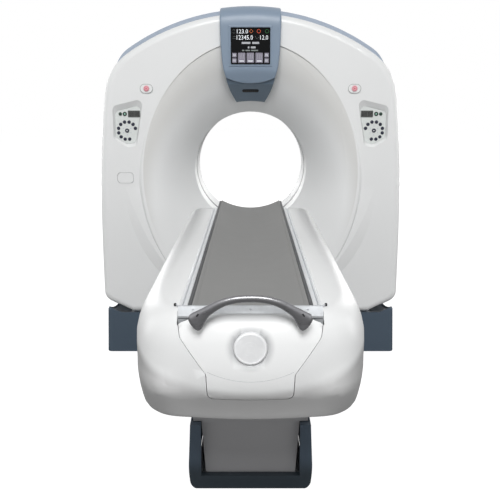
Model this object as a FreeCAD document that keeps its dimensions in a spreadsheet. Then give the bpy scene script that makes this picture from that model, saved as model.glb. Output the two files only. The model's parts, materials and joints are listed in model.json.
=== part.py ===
import FreeCAD, Part

# A computed-tomography scanner in millimetres: a ring housing that tilts in a floor frame, with a rotor
# inside, and a table that lifts and carries a sliding cradle into the bore.
# +Z is up, +Y points from the foot of the table into the bore and +X is to the right of someone who stands
# there. The origin is on the floor, straight below the point where the bore's axis meets the tilt axis.

import math
import os

import Sketcher
from FreeCAD import Placement, Rotation, Vector

doc = FreeCAD.newDocument("ct_scanner")
sizes = doc.addObject("Spreadsheet::Sheet", "sizes")
nodes = {}


# ---------------------------------------------------------------- driving sizes

class Size:
    """A driving size, or a sum or product of some: its value, and the text that binds a property to it."""

    def __init__(self, value, text):
        self.value = float(value)
        self.text = text

    def __float__(self):
        return self.value

    def __add__(self, other):
        other = as_size(other)
        return Size(self.value + other.value, f"({self.text} + {other.text})")

    def __sub__(self, other):
        other = as_size(other)
        return Size(self.value - other.value, f"({self.text} - {other.text})")

    def __mul__(self, factor):
        return Size(self.value * factor, f"({self.text} * {factor})")

    def __truediv__(self, divisor):
        return Size(self.value / divisor, f"({self.text} / {divisor})")

    def __neg__(self):
        return Size(-self.value, f"(0 - {self.text})")

    def __radd__(self, other):
        return as_size(other) + self

    def __rsub__(self, other):
        return as_size(other) - self


def as_size(value):
    return value if isinstance(value, Size) else Size(value, f"({float(value)})")


def driving(alias, value, meaning):
    """Adds a row to the sheet and returns the size that it holds."""
    row = driving.rows = getattr(driving, "rows", 0) + 1
    sizes.set(f"A{row}", meaning)
    sizes.set(f"B{row}", str(value))
    sizes.setAlias(f"B{row}", alias)
    return Size(value, "sizes." + alias)


# the whole machine
iso_height = driving("iso_height", 1130, "bore axis and tilt axis above the floor")
bore_radius = driving("bore_radius", 350, "free radius of the bore")
skin = driving("skin", 8, "wall of the moulded covers")
seam = driving("seam", 2, "gap between neighbouring covers")
tilt_reach = driving("tilt_reach", 961, "largest radius of the tilting covers about the tilt axis")
tilt_gap = driving("tilt_gap", 11, "free gap between the tilting covers and the base")
pin_fit = driving("pin_fit", 0.05, "radial clearance of a turning pin")

# ring housing
face_y = driving("face_y", -440, "front face of the front cover")
back_y = driving("back_y", 470, "rear face of the rear cover")
join_y = driving("join_y", 300, "front and rear covers end this far from the tilt axis")
crown_top = driving("crown_top", 2072, "top of the crown band")
crown_radius = driving("crown_radius", 1294, "radius of the crown's arc in front view")
crown_step = driving("crown_step", 35, "crown band stands this far over the white covers")
side_half = driving("side_half", 905, "half width of the ring housing near its foot")
shoulder_half = driving("shoulder_half", 862, "half width at the shoulders")
shoulder_height = driving("shoulder_height", 1520, "height of the shoulders")
foot_radius = driving("foot_radius", 72, "radius of the housing's lower corners in front view")
foot_corner = driving("foot_corner", 347, "height where side and slanted foot would meet")
foot_half = driving("foot_half", 551, "half width of the housing's flat underside")
foot_height = driving("foot_height", 170, "underside of the housing")
edge_radius = driving("edge_radius", 42, "rounding of the front and rear edges")

# dish of the front cover
dish_half = driving("dish_half", 640, "half width of the dish's rim")
dish_rise = driving("dish_rise", 790, "half height of the dish's rim")
dish_centre = driving("dish_centre", 1090, "height of the rim's centre")
dish_crest = driving("dish_crest", 30, "rim stands this far out of the face at its foot")
dish_level = driving("dish_level", 1450, "height where the rim is level with the face")
flank_top = driving("flank_top", 1040, "height where the flank outside the rim runs out")
throat_front = driving("throat_front", -190, "front end of the straight bore")
throat_rear = driving("throat_rear", 250, "rear end of the straight bore")
window_half = driving("window_half", 30, "half width of the scan window")
rear_flare = driving("rear_flare", 540, "radius of the rear funnel's mouth")

# floor frame and base covers
base_half = driving("base_half", 899, "half width of the base covers at the floor")
base_front = driving("base_front", -435, "front of the base covers")
base_rear = driving("base_rear", 440, "rear of the base covers")
base_lift = driving("base_lift", 4, "base covers clear the floor by this much")
stand_inner = driving("stand_inner", 750, "inner face of a side stand")
stand_plate = driving("stand_plate", 50, "thickness of a side stand")
frame_foot = driving("frame_foot", 20, "height of the levelling feet")
frame_plate = driving("frame_plate", 40, "thickness of the floor frame")
trunnion_radius = driving("trunnion_radius", 60, "radius of the tilt pins")
bearing_radius = driving("bearing_radius", 90, "outer radius of the tilt bearings")
anchor_radius = driving("anchor_radius", 9, "radius of the floor anchor holes")
anchor_x = driving("anchor_x", 700, "gantry anchor holes from the middle, sideways")
anchor_y = driving("anchor_y", 330, "gantry anchor holes from the middle, front to back")

# rotor
rotor_radius = driving("rotor_radius", 650, "outer radius of the rotor drum")
rotor_bore = driving("rotor_bore", 385, "inner radius of the rotor drum")
drum_front = driving("drum_front", 60, "front face of the rotor drum")
drum_plate = driving("drum_plate", 35, "thickness of the rotor drum")
stator_y = driving("stator_y", 180, "front face of the stationary ring plate")
stator_plate = driving("stator_plate", 35, "thickness of the stationary ring plate")
pulley_radius = driving("pulley_radius", 50, "radius of the motor's pulley")
pulley_reach = driving("pulley_reach", 560, "motor axis from the bore axis, across and down")
belt_thickness = driving("belt_thickness", 4, "thickness of the drive belt")

# table
cradle_half = driving("cradle_half", 182, "half width of the cradle")
cradle_height = driving("cradle_height", 965, "top of the cradle's edges above the floor")
cradle_sag = driving("cradle_sag", 40, "depth of the cradle's hollow")
cradle_depth = driving("cradle_depth", 60, "height of the cradle's section")
cradle_foot = driving("cradle_foot", -2665, "foot end of the cradle")
cradle_head = driving("cradle_head", -478, "head end of the cradle")
mat_thickness = driving("mat_thickness", 8, "thickness of the cradle's mat")
rail_outer = driving("rail_outer", 212, "outer face of a side rail")
rail_inner = driving("rail_inner", 186, "inner face of a side rail")
frame_under = driving("frame_under", 830, "underside of the table frame")
shell_under = driving("shell_under", 588, "underside of the table shell")
shell_nose = driving("shell_nose", -2742, "foot end of the table shell")
shell_head = driving("shell_head", -700, "head end of the table shell")

# pedestal
tray_front = driving("tray_front", -2020, "front of the pedestal tray")
tray_rear = driving("tray_rear", -1040, "rear of the pedestal tray")
tray_half = driving("tray_half", 250, "half width of the pedestal tray")
tray_height = driving("tray_height", 280, "height of the tray's side walls")
base_sheet = driving("base_sheet", 20, "thickness of the pedestal's floor plate")
column_half = driving("column_half", 150, "half width of the lowest lift column")
column_front = driving("column_front", -1500, "front of the lowest lift column")
column_rear = driving("column_rear", -1160, "rear of the lowest lift column")
column_wall = driving("column_wall", 8, "wall of the lift columns")
column_gap = driving("column_gap", 1, "gap between sliding columns")
shroud_half = driving("shroud_half", 215, "half width of the middle shroud")
shroud_front = driving("shroud_front", -1600, "front of the middle shroud")
shroud_rear = driving("shroud_rear", -1060, "rear of the middle shroud")
shroud_wall = driving("shroud_wall", 3, "wall of the shrouds")
doc.recompute()


# ---------------------------------------------------------------- building blocks

TURNS = {"x": Rotation(Vector(0, 1, 0), 90), "y": Rotation(Vector(1, 0, 0), -90), "z": Rotation()}
OTHERS = {"x": "yz", "y": "xz", "z": "xy"}
FAR = 3000.0


def bind(thing, **properties):
    """Binds properties of an object to sizes; a double underscore stands for a dot."""
    for name, size in properties.items():
        thing.setExpression(name.replace("__", "."), as_size(size).text)
    return thing


def node(name, thing):
    """Names a sub-part: its label is the name of its file."""
    thing.Label = name
    nodes[name] = thing
    return thing


def block(name, x, y, z):
    """A box between two values of each coordinate."""
    box = doc.addObject("Part::Box", name)
    for (low, high), side, axis in zip((x, y, z), ("Length", "Width", "Height"), "xyz"):
        bind(box, **{side: as_size(high) - low, "Placement__Base__" + axis: low})
    return box


def rod(name, axis, radius, centre, start, end):
    """A cylinder along an axis; centre gives its other two coordinates."""
    cylinder = doc.addObject("Part::Cylinder", name)
    cylinder.Placement = Placement(Vector(), TURNS[axis])
    bind(cylinder, Radius=radius, Height=as_size(end) - start)
    bind(cylinder, **{"Placement__Base__" + axis: start})
    for other, value in zip(OTHERS[axis], centre):
        bind(cylinder, **{"Placement__Base__" + other: value})
    return cylinder


def joined(name, pieces):
    whole = doc.addObject("Part::MultiFuse", name)
    whole.Shapes = list(pieces)
    return whole


def grouped(name, pieces):
    """Separate solids that belong to one node."""
    group = doc.addObject("Part::Compound", name)
    group.Links = list(pieces)
    return group


def cut(name, base, *tools):
    difference = doc.addObject("Part::Cut", name)
    difference.Base = base
    difference.Tool = tools[0] if len(tools) == 1 else joined(name + "_tools", tools)
    return difference


def tube(name, axis, outer, inner, centre, start, end):
    outside = rod(name + "_outside", axis, outer, centre, start, end)
    inside = rod(name + "_inside", axis, inner, centre, as_size(start) - 1, as_size(end) + 1)
    return cut(name, outside, inside)


def moulding(name, shape):
    """A sculpted piece whose faces come from lofts and trimmed outlines."""
    feature = doc.addObject("Part::Feature", name)
    solids = shape.Solids
    feature.Shape = solids[0] if len(solids) == 1 else shape
    return feature


def new_body(name):
    return doc.addObject("PartDesign::Body", name)


def sketch_on(owner, name, role, offset=0):
    """A sketch on one of a body's own planes, moved along that plane's normal."""
    sketch = owner.newObject("Sketcher::SketchObject", name)
    plane = next(feature for feature in owner.Origin.OriginFeatures if feature.Role == role)
    sketch.AttachmentSupport = [(plane, "")]
    sketch.MapMode = "FlatFace"
    bind(sketch, AttachmentOffset__Base__z=offset)
    return sketch


def hold(sketch, edge, end, x, y):
    """Holds a point of a sketch at two sizes."""
    for kind, axis, size in (("DistanceX", -2, as_size(x)), ("DistanceY", -1, as_size(y))):
        if size.value == 0:
            sketch.addConstraint(Sketcher.Constraint("PointOnObject", edge, end, axis))
            continue
        index = sketch.addConstraint(Sketcher.Constraint(kind, -1, 1, edge, end, size.value))
        sketch.setExpression(f"Constraints[{index}]", size.text)


def polygon(sketch, corners):
    """A closed outline of straight sides; each corner is held at two sizes."""
    points = [Vector(float(x), float(y), 0) for x, y in corners]
    first = sketch.GeometryCount
    count = len(points)
    for i in range(count):
        sketch.addGeometry(Part.LineSegment(points[i], points[(i + 1) % count]), False)
    for i in range(count):
        sketch.addConstraint(Sketcher.Constraint("Coincident", first + i, 2, first + (i + 1) % count, 1))
    for i, (x, y) in enumerate(corners):
        hold(sketch, first + i, 1, x, y)


def circle(sketch, x, y, radius):
    centre = Vector(float(x), float(y), 0)
    edge = sketch.addGeometry(Part.Circle(centre, Vector(0, 0, 1), float(radius)), False)
    hold(sketch, edge, 3, x, y)
    index = sketch.addConstraint(Sketcher.Constraint("Radius", edge, float(radius)))
    sketch.setExpression(f"Constraints[{index}]", as_size(radius).text)


def rectangle(low_x, low_y, high_x, high_y):
    return ((low_x, low_y), (high_x, low_y), (high_x, high_y), (low_x, high_y))


def pad(owner, name, sketch, length, backwards=False):
    feature = owner.newObject("PartDesign::Pad", name)
    feature.Profile = sketch
    feature.Reversed = backwards
    bind(feature, Length=length)
    return feature


def pocket(owner, name, sketch, length, backwards=False):
    """Cuts along or against the sketch's normal and checks that something came off."""
    doc.recompute()
    before = owner.Shape.Volume
    feature = owner.newObject("PartDesign::Pocket", name)
    feature.Profile = sketch
    feature.Reversed = backwards
    bind(feature, Length=length)
    doc.recompute()
    if owner.Shape.Volume > before - 1:
        raise ValueError(name + " cuts nothing")
    return feature


# ---------------------------------------------------------------- outlines of the mouldings

def at(x, y, z):
    return Vector(float(x), float(y), float(z))


def smooth(points, start, end):
    """An interpolated curve through points, with its directions at both ends."""
    curve = Part.BSplineCurve()
    first, last = (Vector(direction).normalize() for direction in (start, end))
    curve.interpolate(Points=points, InitialTangent=first, FinalTangent=last, Scale=False)
    return curve.toShape()


def closed(edges):
    return Part.Wire(Part.__sortEdges__(edges))


def prism(wire, along):
    return Part.Face(wire).extrude(along)


def rounded_outline(corners, radius, y):
    """A closed outline in front view whose corners, given as x and z, are all rounded."""
    points = [at(x, y, z) for x, z in corners]
    edges, ends = [], []
    for before, corner, after in zip(points[-1:] + points[:-1], points, points[1:] + points[:1]):
        back, on = (before - corner).normalize(), (after - corner).normalize()
        half_angle = back.getAngle(on) / 2
        reach = radius / math.tan(half_angle)
        inner = (back + on).normalize() * (radius / math.sin(half_angle) - radius)
        ends.append((corner + back * reach, corner + on * reach))
        edges.append(Part.Arc(ends[-1][0], corner + inner, ends[-1][1]).toShape())
    for one, other in zip(ends, ends[1:] + ends[:1]):
        edges.append(Part.LineSegment(one[1], other[0]).toShape())
    return closed(edges)


def mirrored_outline(corners, radius, y):
    """A rounded outline from its right half, listed from the top to the bottom."""
    return rounded_outline(list(corners) + [(-x, z) for x, z in reversed(corners)], radius, y)


def inwards(curve, samples, inset):
    """Points along a curve, moved towards the machine's middle plane by a wall."""
    low, high = curve.ParameterRange
    moved = []
    for i in range(samples):
        along = low + (high - low) * i / (samples - 1)
        point, direction = curve.valueAt(along), curve.tangentAt(along)
        across = Vector(direction.z, 0, -direction.x)
        moved.append(point - across * math.copysign(inset, across.x * point.x))
    return moved


def housing_outline(y, drop, inset=0.0):
    """The ring housing in front view: flat foot, round corners, leaning sides, shoulders and crown."""
    top = float(crown_top) - drop
    radius = float(crown_radius) - drop
    centre = top - radius
    join_x = 730.0 - 0.4 * drop
    join_z = centre + math.sqrt(radius ** 2 - join_x ** 2)
    slant = math.atan2(float(foot_corner - foot_height), float(side_half - foot_half))
    corner = float(foot_radius)
    bend_x = float(side_half) - corner
    bend_z = float(foot_corner) + corner * math.tan((math.pi / 2 - slant) / 2)
    corner -= inset
    ground_z = float(foot_height) + inset
    slant_end = bend_x + corner * math.sin(slant), bend_z - corner * math.cos(slant)
    ground_half = slant_end[0] - (slant_end[1] - ground_z) / math.tan(slant)

    def side(sign):
        points = [
            at(sign * float(side_half), y, bend_z),
            at(sign * (float(side_half) - 6), y, 1000),
            at(sign * float(shoulder_half), y, shoulder_height),
            at(sign * (float(shoulder_half) - 38), y, float(shoulder_height) + 170),
            at(sign * join_x, y, join_z),
        ]
        upwards = Vector(0, 0, 500)
        over = at(-sign * (join_z - centre), 0, join_x).normalize() * 200
        curve = smooth(points, upwards, over)
        return smooth(inwards(curve, 9, inset), upwards, over) if inset else curve

    def foot(sign):
        half_turn = (math.pi / 2 - slant) / 2
        start = at(sign * slant_end[0], y, slant_end[1])
        middle = at(sign * (bend_x + corner * math.cos(half_turn)), y, bend_z - corner * math.sin(half_turn))
        bend = Part.Arc(start, middle, at(sign * (bend_x + corner), y, bend_z)).toShape()
        return [Part.LineSegment(at(sign * ground_half, y, ground_z), start).toShape(), bend]

    ground = Part.LineSegment(at(-ground_half, y, ground_z), at(ground_half, y, ground_z)).toShape()
    ends = side(-1), side(1)
    shoulders = [max(edge.Vertexes, key=lambda vertex: vertex.Z).Point for edge in ends]
    arch = Part.Arc(shoulders[0], at(0, y, top - inset), shoulders[1]).toShape()
    return closed([ground, ends[1], arch, ends[0]] + foot(1) + foot(-1))


def swing(radius):
    """All that lies inside a radius about the tilt axis, and everything above that axis."""
    drum = Part.makeCylinder(radius, 2 * FAR, at(-FAR, 0, iso_height), Vector(1, 0, 0))
    above = Part.makeBox(2 * FAR, 2 * FAR, FAR, at(-FAR, -FAR, iso_height))
    return drum.fuse(above)


def housing_block(near_y, far_y, drop, inset=0.0):
    """The housing as a solid between two depths, trimmed to the radius that the tilt leaves free."""
    solid = prism(housing_outline(near_y, drop, inset), at(0, far_y - near_y, 0))
    return solid.common(swing(float(tilt_reach) - inset))


def rounded_at(solid, y, radius):
    """Rounds the edges that lie in one front or rear plane."""
    edges = [e for e in solid.Edges if abs(e.BoundBox.YMin - y) < 0.3 and abs(e.BoundBox.YMax - y) < 0.3]
    return solid.makeFillet(radius, edges)


def ellipse(half, rise, centre_z, y, lean=0.0):
    """An upright ellipse that starts at its top; lean tips it about the line where the rim is level."""
    curve = Part.Ellipse(at(0, y, centre_z + rise), at(half, y, centre_z), at(0, y, centre_z))
    wire = Part.Wire(curve.toShape())
    if lean:
        wire.rotate(at(0, y, dish_level), Vector(1, 0, 0), lean)
    return wire


def round_section(radius, y):
    """A circle about the bore's axis that starts at its top, like the ellipses."""
    curve = Part.Circle(at(0, y, iso_height), Vector(0, -1, 0), radius)
    wire = Part.Wire(curve.toShape())
    start = wire.Vertexes[0].Point - at(0, y, iso_height)
    turn = math.degrees(math.atan2(start.z, start.x))
    wire.rotate(at(0, y, iso_height), Vector(0, -1, 0), 90 - turn)
    return wire


def rim_lean():
    """Angle of the rim's plane in degrees: it stands out by its crest at its foot."""
    below = float(dish_level) - float(dish_centre) + float(dish_rise)
    return -math.degrees(math.atan(float(dish_crest) / below))


def dish(grow):
    """The funnel from the leaning rim to the throat, grown by a wall."""
    rim_y = float(face_y) - 2
    fading = 0.7
    rim = ellipse(float(dish_half) + grow, float(dish_rise) + grow, float(dish_centre), rim_y, rim_lean())
    half_way = ellipse(512 + grow, 590 + grow, 1106, -392, rim_lean() * fading)
    waist = ellipse(424 + grow, 452 + grow, 1122, -300, rim_lean() * fading ** 2)
    throat = round_section(float(bore_radius) + grow, float(throat_front))
    return Part.makeLoft([rim, half_way, waist, throat], True)


def bore_drum(grow, start, end):
    radius = float(bore_radius) + grow
    return Part.makeCylinder(radius, end - start, at(0, start, iso_height), Vector(0, 1, 0))


# ---------------------------------------------------------------- floor frame (does not move)

def gantry_base_frame():
    """Floor plate in an H, with a side stand at each end that rises to the tilt axis."""
    body = new_body("base_frame")
    plate = sketch_on(body, "floor_plate", "XY_Plane", frame_foot)
    wide, narrow, deep, shallow = 860, 640, 380, 150
    rear_half = ((wide, deep), (narrow, deep), (narrow, shallow), (-narrow, shallow), (-narrow, deep),
                 (-wide, deep))
    polygon(plate, rear_half + tuple((x, -y) for x, y in reversed(rear_half)))
    pad(body, "floor_plate_pad", plate, frame_plate)
    top = frame_foot + frame_plate
    for side, start in (("left", -stand_inner - stand_plate), ("right", stand_inner)):
        stand = sketch_on(body, "stand_" + side, "YZ_Plane", start)
        polygon(stand, (
            (-150, top - 5), (150, top - 5), (150, 128), (36, 140), (36, 215), (100, 360), (130, iso_height),
            (130, iso_height + 60), (75, iso_height + 125), (-75, iso_height + 125), (-130, iso_height + 60),
            (-130, iso_height), (-100, 360), (-36, 215), (-36, 140), (-150, 128),
        ))
        pad(body, "stand_pad_" + side, stand, stand_plate)
    seats = sketch_on(body, "bearing_seats", "YZ_Plane", -stand_inner - stand_plate - 10)
    circle(seats, 0, iso_height, bearing_radius)
    pocket(body, "bearing_seat_cut", seats, stand_inner * 2 + stand_plate * 2 + 20, backwards=True)
    holes = sketch_on(body, "anchor_holes", "XY_Plane", frame_foot - 5)
    for x in (-anchor_x, anchor_x):
        for y in (-anchor_y, anchor_y):
            circle(holes, x, y, anchor_radius)
    pocket(body, "anchor_hole_cut", holes, frame_plate + 10, backwards=True)
    node("gantry_base_frame", body)


def levelling_feet():
    """Round pads with a stem, under the corners and the middle of the floor frame."""
    feet = []
    for i, (x, y) in enumerate(((-800, -300), (800, -300), (-800, 300), (800, 300), (0, 0))):
        disc = rod(f"foot_disc_{i}", "z", 45, (x, y), 0, 12)
        stem = rod(f"foot_stem_{i}", "z", 18, (x, y), 12, frame_foot)
        feet.append(joined(f"foot_{i}", (disc, stem)))
    node("levelling_feet", grouped("feet", feet))


def tilt_envelope(margin):
    """The space that the foot of the tilting housing sweeps, as a solid of revolution about the tilt axis."""
    reach = float(tilt_reach) + margin
    half = (
        (920, reach - 86), (906, reach - 72), (882, reach - 36), (838, reach - 14), (800, reach),
    )
    ring = [at(x, 0, float(iso_height) + r) for x, r in half]
    mirrored = [Vector(-p.x, 0, p.z) for p in reversed(ring)]
    axis_ends = [at(-920, 0, iso_height), at(920, 0, iso_height)]
    outline = Part.makePolygon(axis_ends + ring + mirrored + axis_ends[:1])
    return Part.Face(outline).revolve(at(0, 0, iso_height), Vector(1, 0, 0), 360)


def base_cover(name, near_y, far_y, outer_y):
    """Half of the dark base housing, with the saddle in which the ring housing rocks."""
    def hull(inset):
        half = float(base_half) - inset
        corners = ((half, base_lift), (half - 11, 277), (half - 37, 330))
        right = [at(x, near_y, z) for x, z in corners]
        left = [Vector(-p.x, p.y, p.z) for p in reversed(right)]
        outline = Part.makePolygon(right + left + right[:1])
        return prism(outline, at(0, far_y - near_y, 0))

    wall = float(skin)
    outside = hull(0)
    upright = [e for e in outside.Edges
               if abs(e.BoundBox.YMin - outer_y) < 0.01 and abs(e.BoundBox.YMax - outer_y) < 0.01
               and e.BoundBox.ZLength > 40]
    outside = outside.makeFillet(30, upright).cut(tilt_envelope(float(tilt_gap)))
    inside = hull(wall).cut(tilt_envelope(float(tilt_gap) + wall))
    inside.translate(at(0, wall if outer_y == near_y else -wall, -wall))
    cover = outside.cut(inside)
    for side in (-1, 1):
        middle = side * (float(stand_inner) + float(stand_plate) / 2)
        cover = cover.cut(Part.makeBox(74, 110, 400, at(middle - 37, -55, 60)))
    node(name, moulding(name + "_moulding", cover))


def tilt_bearings():
    """Flanged ring in each side stand; the tilt pin turns in it."""
    for side, start in (("left", -stand_inner - stand_plate - 3), ("right", stand_inner - 3)):
        ring = tube("tilt_ring_" + side, "x", bearing_radius, trunnion_radius + pin_fit,
                    (0, iso_height), start, start + stand_plate + 6)
        node("tilt_bearing_" + side, ring)


def tilt_gearmotor():
    """Worm gearbox on the right stand, with its upright motor."""
    outer = stand_inner + stand_plate
    housing = block("gearbox_block", (outer, outer + 62), (-110, 110), (iso_height - 110, iso_height + 110))
    recess = rod("gearbox_recess", "x", bearing_radius + 2, (0, iso_height), outer - 1, outer + 12)
    casing = cut("gearbox", housing, recess)
    motor = rod("tilt_motor", "z", 28, (outer + 33, 0), iso_height - 330, iso_height - 110)
    cap = rod("tilt_motor_cap", "z", 22, (outer + 33, 0), iso_height - 345, iso_height - 330)
    node("tilt_gearmotor", joined("tilt_drive", (casing, motor, cap)))


def cable_duct():
    """Flat floor duct for the cables between the gantry and the table."""
    body = new_body("duct")
    section = sketch_on(body, "duct_section", "XZ_Plane", -base_front)
    polygon(section, ((-130, 0), (130, 0), (104, 45), (-104, 45)))
    pad(body, "duct_pad", section, base_front - tray_rear)
    node("cable_duct", body)


# ---------------------------------------------------------------- pedestal (does not move)

def table_base_plate():
    body = new_body("pedestal_plate")
    outline = sketch_on(body, "plate_outline", "XY_Plane", 0)
    polygon(outline, rectangle(-222, tray_front + 45, 222, tray_rear - 10))
    pad(body, "plate_pad", outline, base_sheet)
    holes = sketch_on(body, "plate_holes", "XY_Plane", -5)
    for x in (-190, 190):
        for y in (-1920, -1100):
            circle(holes, x, y, anchor_radius)
    pocket(body, "plate_hole_cut", holes, base_sheet + 10, backwards=True)
    node("table_base_plate", body)


def pedestal_cover():
    """Dark tray with upstanding side walls, a front lip and flanges that face the foot of the table."""
    def outline(inset, low, high):
        half = float(tray_half) - inset
        right = [at(half - 27 + inset, 0, low), at(half - 4, 0, 34), at(half, 0, 105), at(half - 8, 0, high)]
        left = [Vector(-p.x, 0, p.z) for p in reversed(right)]
        edges = [
            Part.Arc(right[0], at(half - 11, 0, (low + 34) * 0.40), right[1]).toShape(),
            Part.Arc(right[1], at(half - 0.6, 0, 70), right[2]).toShape(),
            Part.LineSegment(right[2], right[3]).toShape(),
            Part.LineSegment(right[3], left[0]).toShape(),
            Part.LineSegment(left[0], left[1]).toShape(),
            Part.Arc(left[1], at(0.6 - half, 0, 70), left[2]).toShape(),
            Part.Arc(left[2], at(11 - half, 0, (low + 34) * 0.40), left[3]).toShape(),
            Part.LineSegment(left[3], right[0]).toShape(),
        ]
        return closed(edges)

    length = float(tray_rear) - float(tray_front)
    high = float(tray_height)
    outside = prism(outline(0, 0, high), at(0, length, 0))
    inside = prism(outline(6, -2, high + 5), at(0, length - 36, 0))
    inside.translate(at(0, 30, 0))
    mouth = Part.makeBox(400, 60, high, at(-200, -10, 57))
    hollow = outside.cut(inside).cut(mouth)
    hollow.translate(at(0, tray_front, 0))
    node("pedestal_cover", moulding("tray", hollow))


def pedestal_front_panel():
    """Grey bent panel: a sheet that narrows towards the floor, and a cap over the tray's walls."""
    cap = float(tray_height)
    sheet = 6.0
    front = float(tray_front) + 38
    body = new_body("front_panel")
    face = sketch_on(body, "panel_face", "XZ_Plane", -front)
    polygon(face, ((-181, 24), (181, 24), (201, cap + 30), (-201, cap + 30)))
    pad(body, "panel_face_pad", face, sheet, backwards=True)
    hood = sketch_on(body, "panel_hood", "YZ_Plane", -232)
    polygon(hood, (
        (front - 6, cap + 2), (front - 6, cap + 36), (-1612, cap + 36), (-1612, cap + 30),
        (front, cap + 30), (front, cap + 2),
    ))
    pad(body, "panel_hood_pad", hood, 464)
    node("pedestal_front_panel", body)


def box_tube(name, half, front, rear, wall, low, high):
    """An upright rectangular tube, padded from one sketch with two outlines."""
    body = new_body(name + "_body")
    section = sketch_on(body, name + "_section", "XY_Plane", low)
    polygon(section, rectangle(-half, front, half, rear))
    polygon(section, rectangle(-half + wall, front + wall, half - wall, rear - wall))
    pad(body, name + "_pad", section, as_size(high) - low)
    node(name, body)
    return body


def lift_columns_and_shrouds():
    """Three nested lift columns, and two shrouds that slide inside each other and in the tray."""
    step = column_wall + column_gap
    box_tube("lift_column_base", column_half, column_front, column_rear, column_wall, base_sheet, 400)
    box_tube("lift_column_middle", column_half - step, column_front + step, column_rear - step,
             column_wall, 262, 610)
    box_tube("lift_column_top", column_half - step * 2, column_front + step * 2, column_rear - step * 2,
             column_wall, 470, frame_under)
    slip = shroud_wall + 3
    box_tube("shroud_middle", shroud_half, shroud_front, shroud_rear, shroud_wall, 236, 600)
    box_tube("shroud_top", shroud_half - slip, shroud_front + slip, shroud_rear - slip, shroud_wall,
             490, frame_under)


def lift_motor():
    """Upright motor that drives the lift, on the pedestal's plate in front of the column."""
    can = rod("lift_motor_can", "z", 32, (0, -1545), base_sheet, 230)
    flange = rod("lift_motor_flange", "z", 38, (0, -1545), base_sheet, base_sheet + 14)
    node("lift_motor", joined("lift_drive", (can, flange)))


# ---------------------------------------------------------------- table (lifts)

def table_frame():
    """Welded table frame: a plate with two beams, open between them, and holes that save weight."""
    body = new_body("deck")
    plate = sketch_on(body, "deck_plate", "XY_Plane", frame_under)
    polygon(plate, rectangle(-rail_outer, cradle_foot - 3, rail_outer, shell_head - 20))
    pad(body, "deck_plate_pad", plate, 8)
    beams = sketch_on(body, "deck_beams", "XZ_Plane", 740)
    for low in (-184, 120):
        polygon(beams, rectangle(low, frame_under + 7, low + 64, frame_under + 38))
    pad(body, "deck_beam_pad", beams, 1880)
    holes = sketch_on(body, "deck_holes", "XY_Plane", frame_under - 5)
    for y in (-2450, -2250, -2050, -1850, -920, -760):
        circle(holes, 0, y, 60)
    pocket(body, "deck_hole_cut", holes, 20, backwards=True)
    node("table_frame", body)


def cradle_guides():
    """Two guide rails on the beams, on which the carriage runs."""
    rails = [block(f"guide_{i}", (x, x + 20), (-2650, -745), (frame_under + 38, frame_under + 52))
             for i, x in enumerate((-160, 140))]
    node("cradle_guides", grouped("guides", rails))


def cradle_drive_motor():
    """Motor and gearbox that drive the cradle, hung between the beams."""
    can = rod("cradle_motor_can", "y", 24, (0, frame_under - 26), -2370, -2200)
    gearbox = block("cradle_motor_gearbox", (-36, 36), (-2200, -2125), (frame_under - 60, frame_under))
    node("cradle_drive_motor", joined("cradle_drive", (can, gearbox)))


def side_rails():
    """Extruded edge rails beside the cradle, with a groove along the top."""
    top = cradle_height - 8
    for side, sign in (("left", -1), ("right", 1)):
        body = new_body("edge_rail_" + side)
        section = sketch_on(body, "rail_section_" + side, "XZ_Plane", -shell_head)
        inner, outer = rail_inner * sign, rail_outer * sign
        groove = rail_inner * sign + 12 * sign
        polygon(section, (
            (inner, frame_under + 8), (outer, frame_under + 8), (outer, top - 6), (outer - 4 * sign, top),
            (groove + 4 * sign, top), (groove + 3 * sign, top - 7), (groove, top - 7), (groove - sign, top),
            (inner, top),
        ))
        pad(body, "rail_pad_" + side, section, shell_head - cradle_foot + 3)
        node("side_rail_" + side, body)


# height, half width, set-back of the nose and bluntness of the table shell, from its underside to its top
SHELL_SLICES = (
    (588, 318, 132, 0.5), (592, 326, 124, 0.5), (600, 334, 117, 0.5), (615, 339.5, 106, 0.5),
    (645, 342, 84, 0.5), (680, 346, 50, 0.58), (704, 351.5, 26, 0.7), (730, 359, 13, 0.82),
    (760, 365.5, 5, 0.95), (800, 369, 0, 1.0), (840, 367, 0, 1.0), (875, 359, 2, 1.0), (905, 347, 6, 1.0),
    (926, 332, 14, 1.0), (940, 315, 24, 1.0), (948, 301, 33, 1.0), (953, 284, 42, 1.0),
)
# share of the half width, and distance behind the nose, along one side of a slice of bluntness one
SHELL_PLAN = ((1.0, 342), (0.945, 190), (0.81, 86), (0.46, 21), (0.0, 0))


def shell_slice(level, half, nose, head, bluntness):
    """Outline of the table shell from above at one height: a blunt round nose and straight sides."""
    right = [at(half * share, nose + behind * bluntness, level) for share, behind in SHELL_PLAN]
    left = [Vector(-p.x, p.y, p.z) for p in reversed(right)][1:]
    corners = [left[-1], at(-half, head, level), at(half, head, level), right[0]]
    lines = [Part.LineSegment(a, b).toShape() for a, b in zip(corners, corners[1:])]
    return Part.Wire([smooth(right + left, Vector(0, -150, 0), Vector(0, 150, 0))] + lines)


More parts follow.
